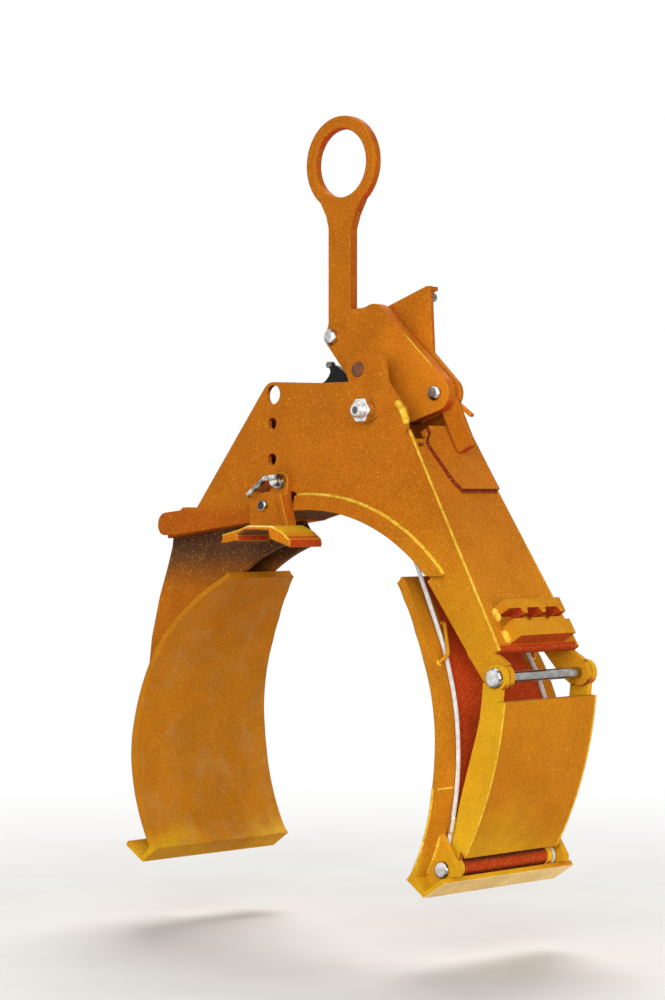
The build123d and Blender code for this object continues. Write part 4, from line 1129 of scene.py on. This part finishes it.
def flush_joint(path):
    """Weld that was ground flat: an oval tube that lies along the plate and stands out of it by FLUSH."""
    return tube(evenly(np.asarray(path, float), FLUSH_STEP), FLUSH_HALF, FLUSH_COLUMNS, thick=FLUSH)


print("ripples of a weld:", RIPPLE, "m apart")

# %% [markdown]
# ## Where the frame's seams run
# The two frame plates lean apart towards the claw, so a seam's depth follows its height.
# The sizes below are those of the plates: half the width at the claw pin, and how fast the plates lean out.
# Seams could be drawn point by point, but from these sizes both sides come out of one loop.

# %% Frame seams
ARM_HALF = 81.8
FLARE = 0.0777
CLAW_PIN_Z = 114.0
ARCH_R = 325.0
RIM_W = 20.0
BAR_HALF = 55.0
UPWARD = np.array((0.0, 0.0, 1.0))
bars_at = ((272.0, 293.0), (304.0, 325.0))
nose_blob = np.array(((146.0, 469.0), (155.5, 459.5), (163.0, 447.0), (166.0, 438.0)))


def arc(centre, radius, start, stop, steps=60):
    """Points x, z of an arc: centre + radius (cos a, sin a), in degrees."""
    turn = np.radians(np.linspace(start, stop, steps))
    return np.stack([centre[0] + radius * np.cos(turn), centre[1] + radius * np.sin(turn)], axis=1)


def at_depth(outline, depth):
    """Points x, z at a depth along the pins, one for all or one for each, in metres."""
    outline = np.asarray(outline, float)
    return from_grip(np.c_[outline[:, 0], np.broadcast_to(depth, len(outline)), outline[:, 1]])


def on_plate(outline, lift, side):
    """Points x, z laid on the outer face of one plate (side -1 in front, 1 behind) and lifted off it, in
    metres. Half the width over the plates grows by FLARE downwards from the claw pin."""
    return at_depth(outline, side * (ARM_HALF + FLARE * (CLAW_PIN_Z - outline[:, 1]) + lift))


def on_cover(slope, depth, lift):
    """Points on the arm cover: slope down from its top, depth along the pins, lift off its face, in
    metres."""
    return at_depth(cover_top + slope[:, None] * down_cover + lift * off_cover, depth)


frame_seams, arm_joints = [], []
corner_seams = {-1: frame_seams, 1: arm_joints}
corner = cover_top + np.linspace(1, COVER_LEN - 1, 40)[:, None] * down_cover
rim = arc((0, 0), ARCH_R + RIM_W + 0.4, 44.6, 94.0)
for side in (-1, 1):
    corner_seams[side].append(seam(on_plate(corner - 0.9 * off_cover, -0.9, side), 1.8))
    arm_joints.append(flush_joint(on_plate(corner - 5.5 * off_cover, -0.3, side)))
    frame_seams.append(seam(on_plate(nose_blob, -1.0, side), 4.8, lumps=0.08))
    frame_seams.append(seam(on_plate(rim, 0.8, side), 3.1))
    for start, stop in bars_at:
        end_bead = on_cover(np.linspace(start + 1, stop - 1, 12), side * (BAR_HALF + 0.8), 0.8)
        frame_seams.append(seam(end_bead, 5.2))
top_bead = on_cover(np.full(30, bars_at[0][0] - 0.6), np.linspace(-BAR_HALF + 4, BAR_HALF - 4, 30), 0.6)
frame_seams.append(seam(top_bead, 2.4, UPWARD))
attach(piece_from("frame_weld_seams", frame_seams), "frame", coats["seam"])
attach(piece_from("arm_flush_joints", arm_joints), "frame", coats["frame"])
print("frame seams:", len(frame_seams))

# %% [markdown]
# ## Seams of the claw, the shoe and the left jaw
# The claw's curved cover is welded to its cheeks along both corners, and the shoe's lugs and rope keepers
# are welded to the back of the grip plate. The left jaw is built the same way from two ribs and a bent
# cover. The seams could be read from the edges of the solids, but the circles that shape the plates give
# smoother lines: the claw's bend through three points, and the shoe's back.

# %% Claw, shoe and left jaw seams
CHEEK_OUT = 92.6
JAW_OUT_R = 288.0
LUG_IN = 103.0
LUG_OUT = 112.0
RIB_OUT = 33.0
PLATE_HALF = 130.6
JOINT_IN = 100.0
JOINT_TURN = -5.5
KEEPER_R = 2.9
claw_points = np.array(((365.27, 84.0), (346.5, -10.0), (299.0, -118.0)))
jaw_cover_path = np.array([(-303.5, 283), (-305, 271), (-314, 244), (-332, 198), (-348.5, 139), (-358, 70),
                           (-357, -1), (-344.5, -63), (-321.5, -116), (-305, -139)], float)
keeper_feet = ((37.8, -52.7), (26.7, -95.1))


def circle_through(points):
    """Centre and radius of the circle through three points: the centre solves 2 (p - q) . c = p.p - q.q
    twice."""
    rows = 2 * (points[1:] - points[0])
    values = (points[1:] ** 2).sum(1) - (points[0] ** 2).sum()
    centre = np.linalg.solve(rows, values)
    return centre, float(np.linalg.norm(points[0] - centre))


def keeper_collar(turn, depth):
    """Ring round the foot of a rope keeper, and the way that the foot stands out of the shoe's back."""
    ring = arc((0, 0), KEEPER_R, 0, 360, 40)
    out = np.array((math.cos(math.radians(turn)), 0.0, math.sin(math.radians(turn))))
    collar = out * (JAW_OUT_R + 0.6) + ring[:, :1] * ACROSS + ring[:, 1:] * np.cross(out, ACROSS)
    return from_grip(collar + depth * ACROSS), out


bend_centre, bend_r = circle_through(claw_points)
bend = np.degrees(np.arctan2(*(claw_points[[0, 2]] - bend_centre).T[::-1]))
lug_foot = arc((0, 0), JAW_OUT_R + 0.2, -18.2, -29.0)
face_edge = arc((0, 0), JAW_FACE_R / MM + 1.6, JOINT_TURN, -29.4)
joint_x, joint_z = arc((0, 0), JAW_OUT_R, JOINT_TURN, JOINT_TURN, 1)[0]
rib_foot = arc((0, 0), JAW_OUT_R + 0.8, 127.0, 207.0)
cover_inside = jaw_cover_path + np.array((2.4, 0.0))
claw_seams, claw_joints, shoe_seams, jaw_seams = [], [], [], []
for side in (-1, 1):
    claw_seams.append(seam(at_depth(arc(bend_centre, bend_r - 0.8, *bend), side * (CHEEK_OUT - 0.8)), 1.4))
    claw_joints.append(flush_joint(at_depth(arc(bend_centre, bend_r - 5.5, *bend), side * (CHEEK_OUT - 0.3))))
    shoe_seams.append(seam(at_depth(lug_foot, side * (LUG_OUT - 0.2)), 2.6))
    shoe_seams.append(seam(at_depth(lug_foot, side * (LUG_IN + 0.2)), 2.4))
    shoe_seams.append(seam(at_depth(face_edge, side * (PLATE_HALF - 0.2)), 1.9))
    joint = ((joint_x, side * PLATE_HALF, joint_z), (joint_x, side * JOINT_IN, joint_z))
    shoe_seams.append(seam(from_grip(joint), 1.6, UPWARD))
    for turn, depth in keeper_feet:
        collar, out = keeper_collar(turn, -side * depth)
        shoe_seams.append(seam(collar, 1.4, out))
    jaw_seams.append(seam(at_depth(cover_inside, side * (RIB_OUT - 2.2)), 3.4))
    jaw_seams.append(seam(at_depth(rib_foot, side * (RIB_OUT + 0.6)), 3.2))
attach(piece_from("claw_weld_seams", claw_seams), "claw", coats["seam"])
attach(piece_from("claw_flush_joints", claw_joints), "claw", coats["cheek"])
attach(piece_from("shoe_weld_seams", shoe_seams), "shoe", coats["seam"])
attach(piece_from("left_jaw_weld_seams", jaw_seams), "frame", coats["left_jaw"])
print("seams:", len(claw_seams), "claw,", len(shoe_seams), "shoe,", len(jaw_seams), "left jaw")

# %% [markdown]
# ## Studio
# The picture wants a plain pale floor, soft even light and a white background.
# The grab hangs by its eye, and its claw sinks as it opens, so the floor is a wide disc a hand under it.
# Close by it is a plain pale surface that takes the shadow.
# Further out, rays from the camera and from mirrors see plain white, so the edge of the floor never shows,
# while the light that falls on the grab still comes from the lamps and a weak sky.

# %% Floor
FLOOR_GAP = 90.0 * MM
FLOOR_RINGS = (0.0, 0.5, 1.0, 2.0, 4.0, 9.0)
FLOOR_COLUMNS = 96
PALE = (0.80, 0.79, 0.77)
PALER = (0.84, 0.83, 0.81)
YARD = (0.60, 0.47, 0.37)
WHITE_FROM = (1.1, 2.4)
floor_z = cad_box[0].z - FLOOR_GAP
floor_middle = (cad_box[0] + cad_box[1]) / 2


def seen_directly(tree):
    """1 for rays from the camera, from mirrors and through glass, and 0 for rays that carry light."""
    path = node(tree, "LightPath").outputs
    share = combine("MAXIMUM", path["Is Camera Ray"], path["Is Glossy Ray"])
    return combine("MAXIMUM", share, path["Is Transmission Ray"])


def blend_light(share, first, second):
    """Light from the first shader to the second by a share."""
    return node(share.id_data, "MixShader", {0: share, 1: first, 2: second}).outputs[0]


def pale_floor():
    """Matt pale paint near the grab, which turns to plain white light for seen rays over the span
    WHITE_FROM. Rays that carry light find a warmer, darker floor, as in a yard."""
    finish, tree, shader = new_finish("pale_floor")
    place = node(tree, "TexCoord").outputs["Object"]
    tone = blend_tones(remap(grain(place, 3.0), 0.3, 0.7), PALE, PALER)
    plug(shader, {"Base Color": tone, "Roughness": 0.9, "Specular IOR Level": 0.1})
    white = node(tree, "Emission").outputs[0]
    seen = blend_light(remap(length_of(place), *WHITE_FROM), shader.outputs[0], white)
    dim = node(tree, "BsdfDiffuse", {"Color": YARD}).outputs[0]
    plug(tree.nodes["Material Output"], {"Surface": blend_light(seen_directly(tree), dim, seen)})
    return finish


turn = full_turn(FLOOR_COLUMNS)
rings = np.array(FLOOR_RINGS)[:, None]
disc = np.stack([floor_middle.x + rings * np.cos(turn), floor_middle.y + rings * np.sin(turn),
                 floor_z + 0 * rings * turn], axis=-1)
floor = piece_from("pale_floor", [disc])
paint(floor, pale_floor())
print("floor at", round(floor_z, 3), "m")

# %% [markdown]
# ## Sky and lamps
# The grab was lit evenly, with soft shadows. A bare sun would cut hard ones, so four wide lamps stand
# round it: a key and a weaker front lamp, one for the right side and one behind that draws the upper
# edges.

# %% Sky and lamps
SKY_LIGHT = 0.30
SKY_TONE = (1.0, 0.99, 0.97)
WHITE = (1.0, 1.0, 1.0)
world = bpy.data.worlds.new("soft_sky")
bpy.context.scene.world = world
world.use_nodes = True
sky = world.node_tree
sky.nodes.clear()
weak, plain = (node(sky, "Background", {"Color": tone, "Strength": strength}).outputs[0]
               for tone, strength in ((SKY_TONE, SKY_LIGHT), (WHITE, 1.0)))
node(sky, "OutputWorld", {"Surface": blend_light(seen_directly(sky), weak, plain)})

lamps = [
    ("key_lamp", (2.6, -2.9, 0.6), 3.0, 95.0),
    ("front_lamp", (0.8, -3.8, 0.3), 2.6, 36.0),
    ("side_lamp", (3.9, -0.2, -0.4), 2.2, 50.0),
    ("back_lamp", (-1.5, 2.0, 3.0), 2.4, 140.0),
]
for name, place, size, watts in lamps:
    lamp = set_up(name, bpy.data.lights.new(name, "AREA"), place, floor_middle)
    lamp.data.size = size
    lamp.data.energy = watts
bpy.context.scene.view_settings.view_transform = "Standard"
print("studio:", len(lamps), "lamps")
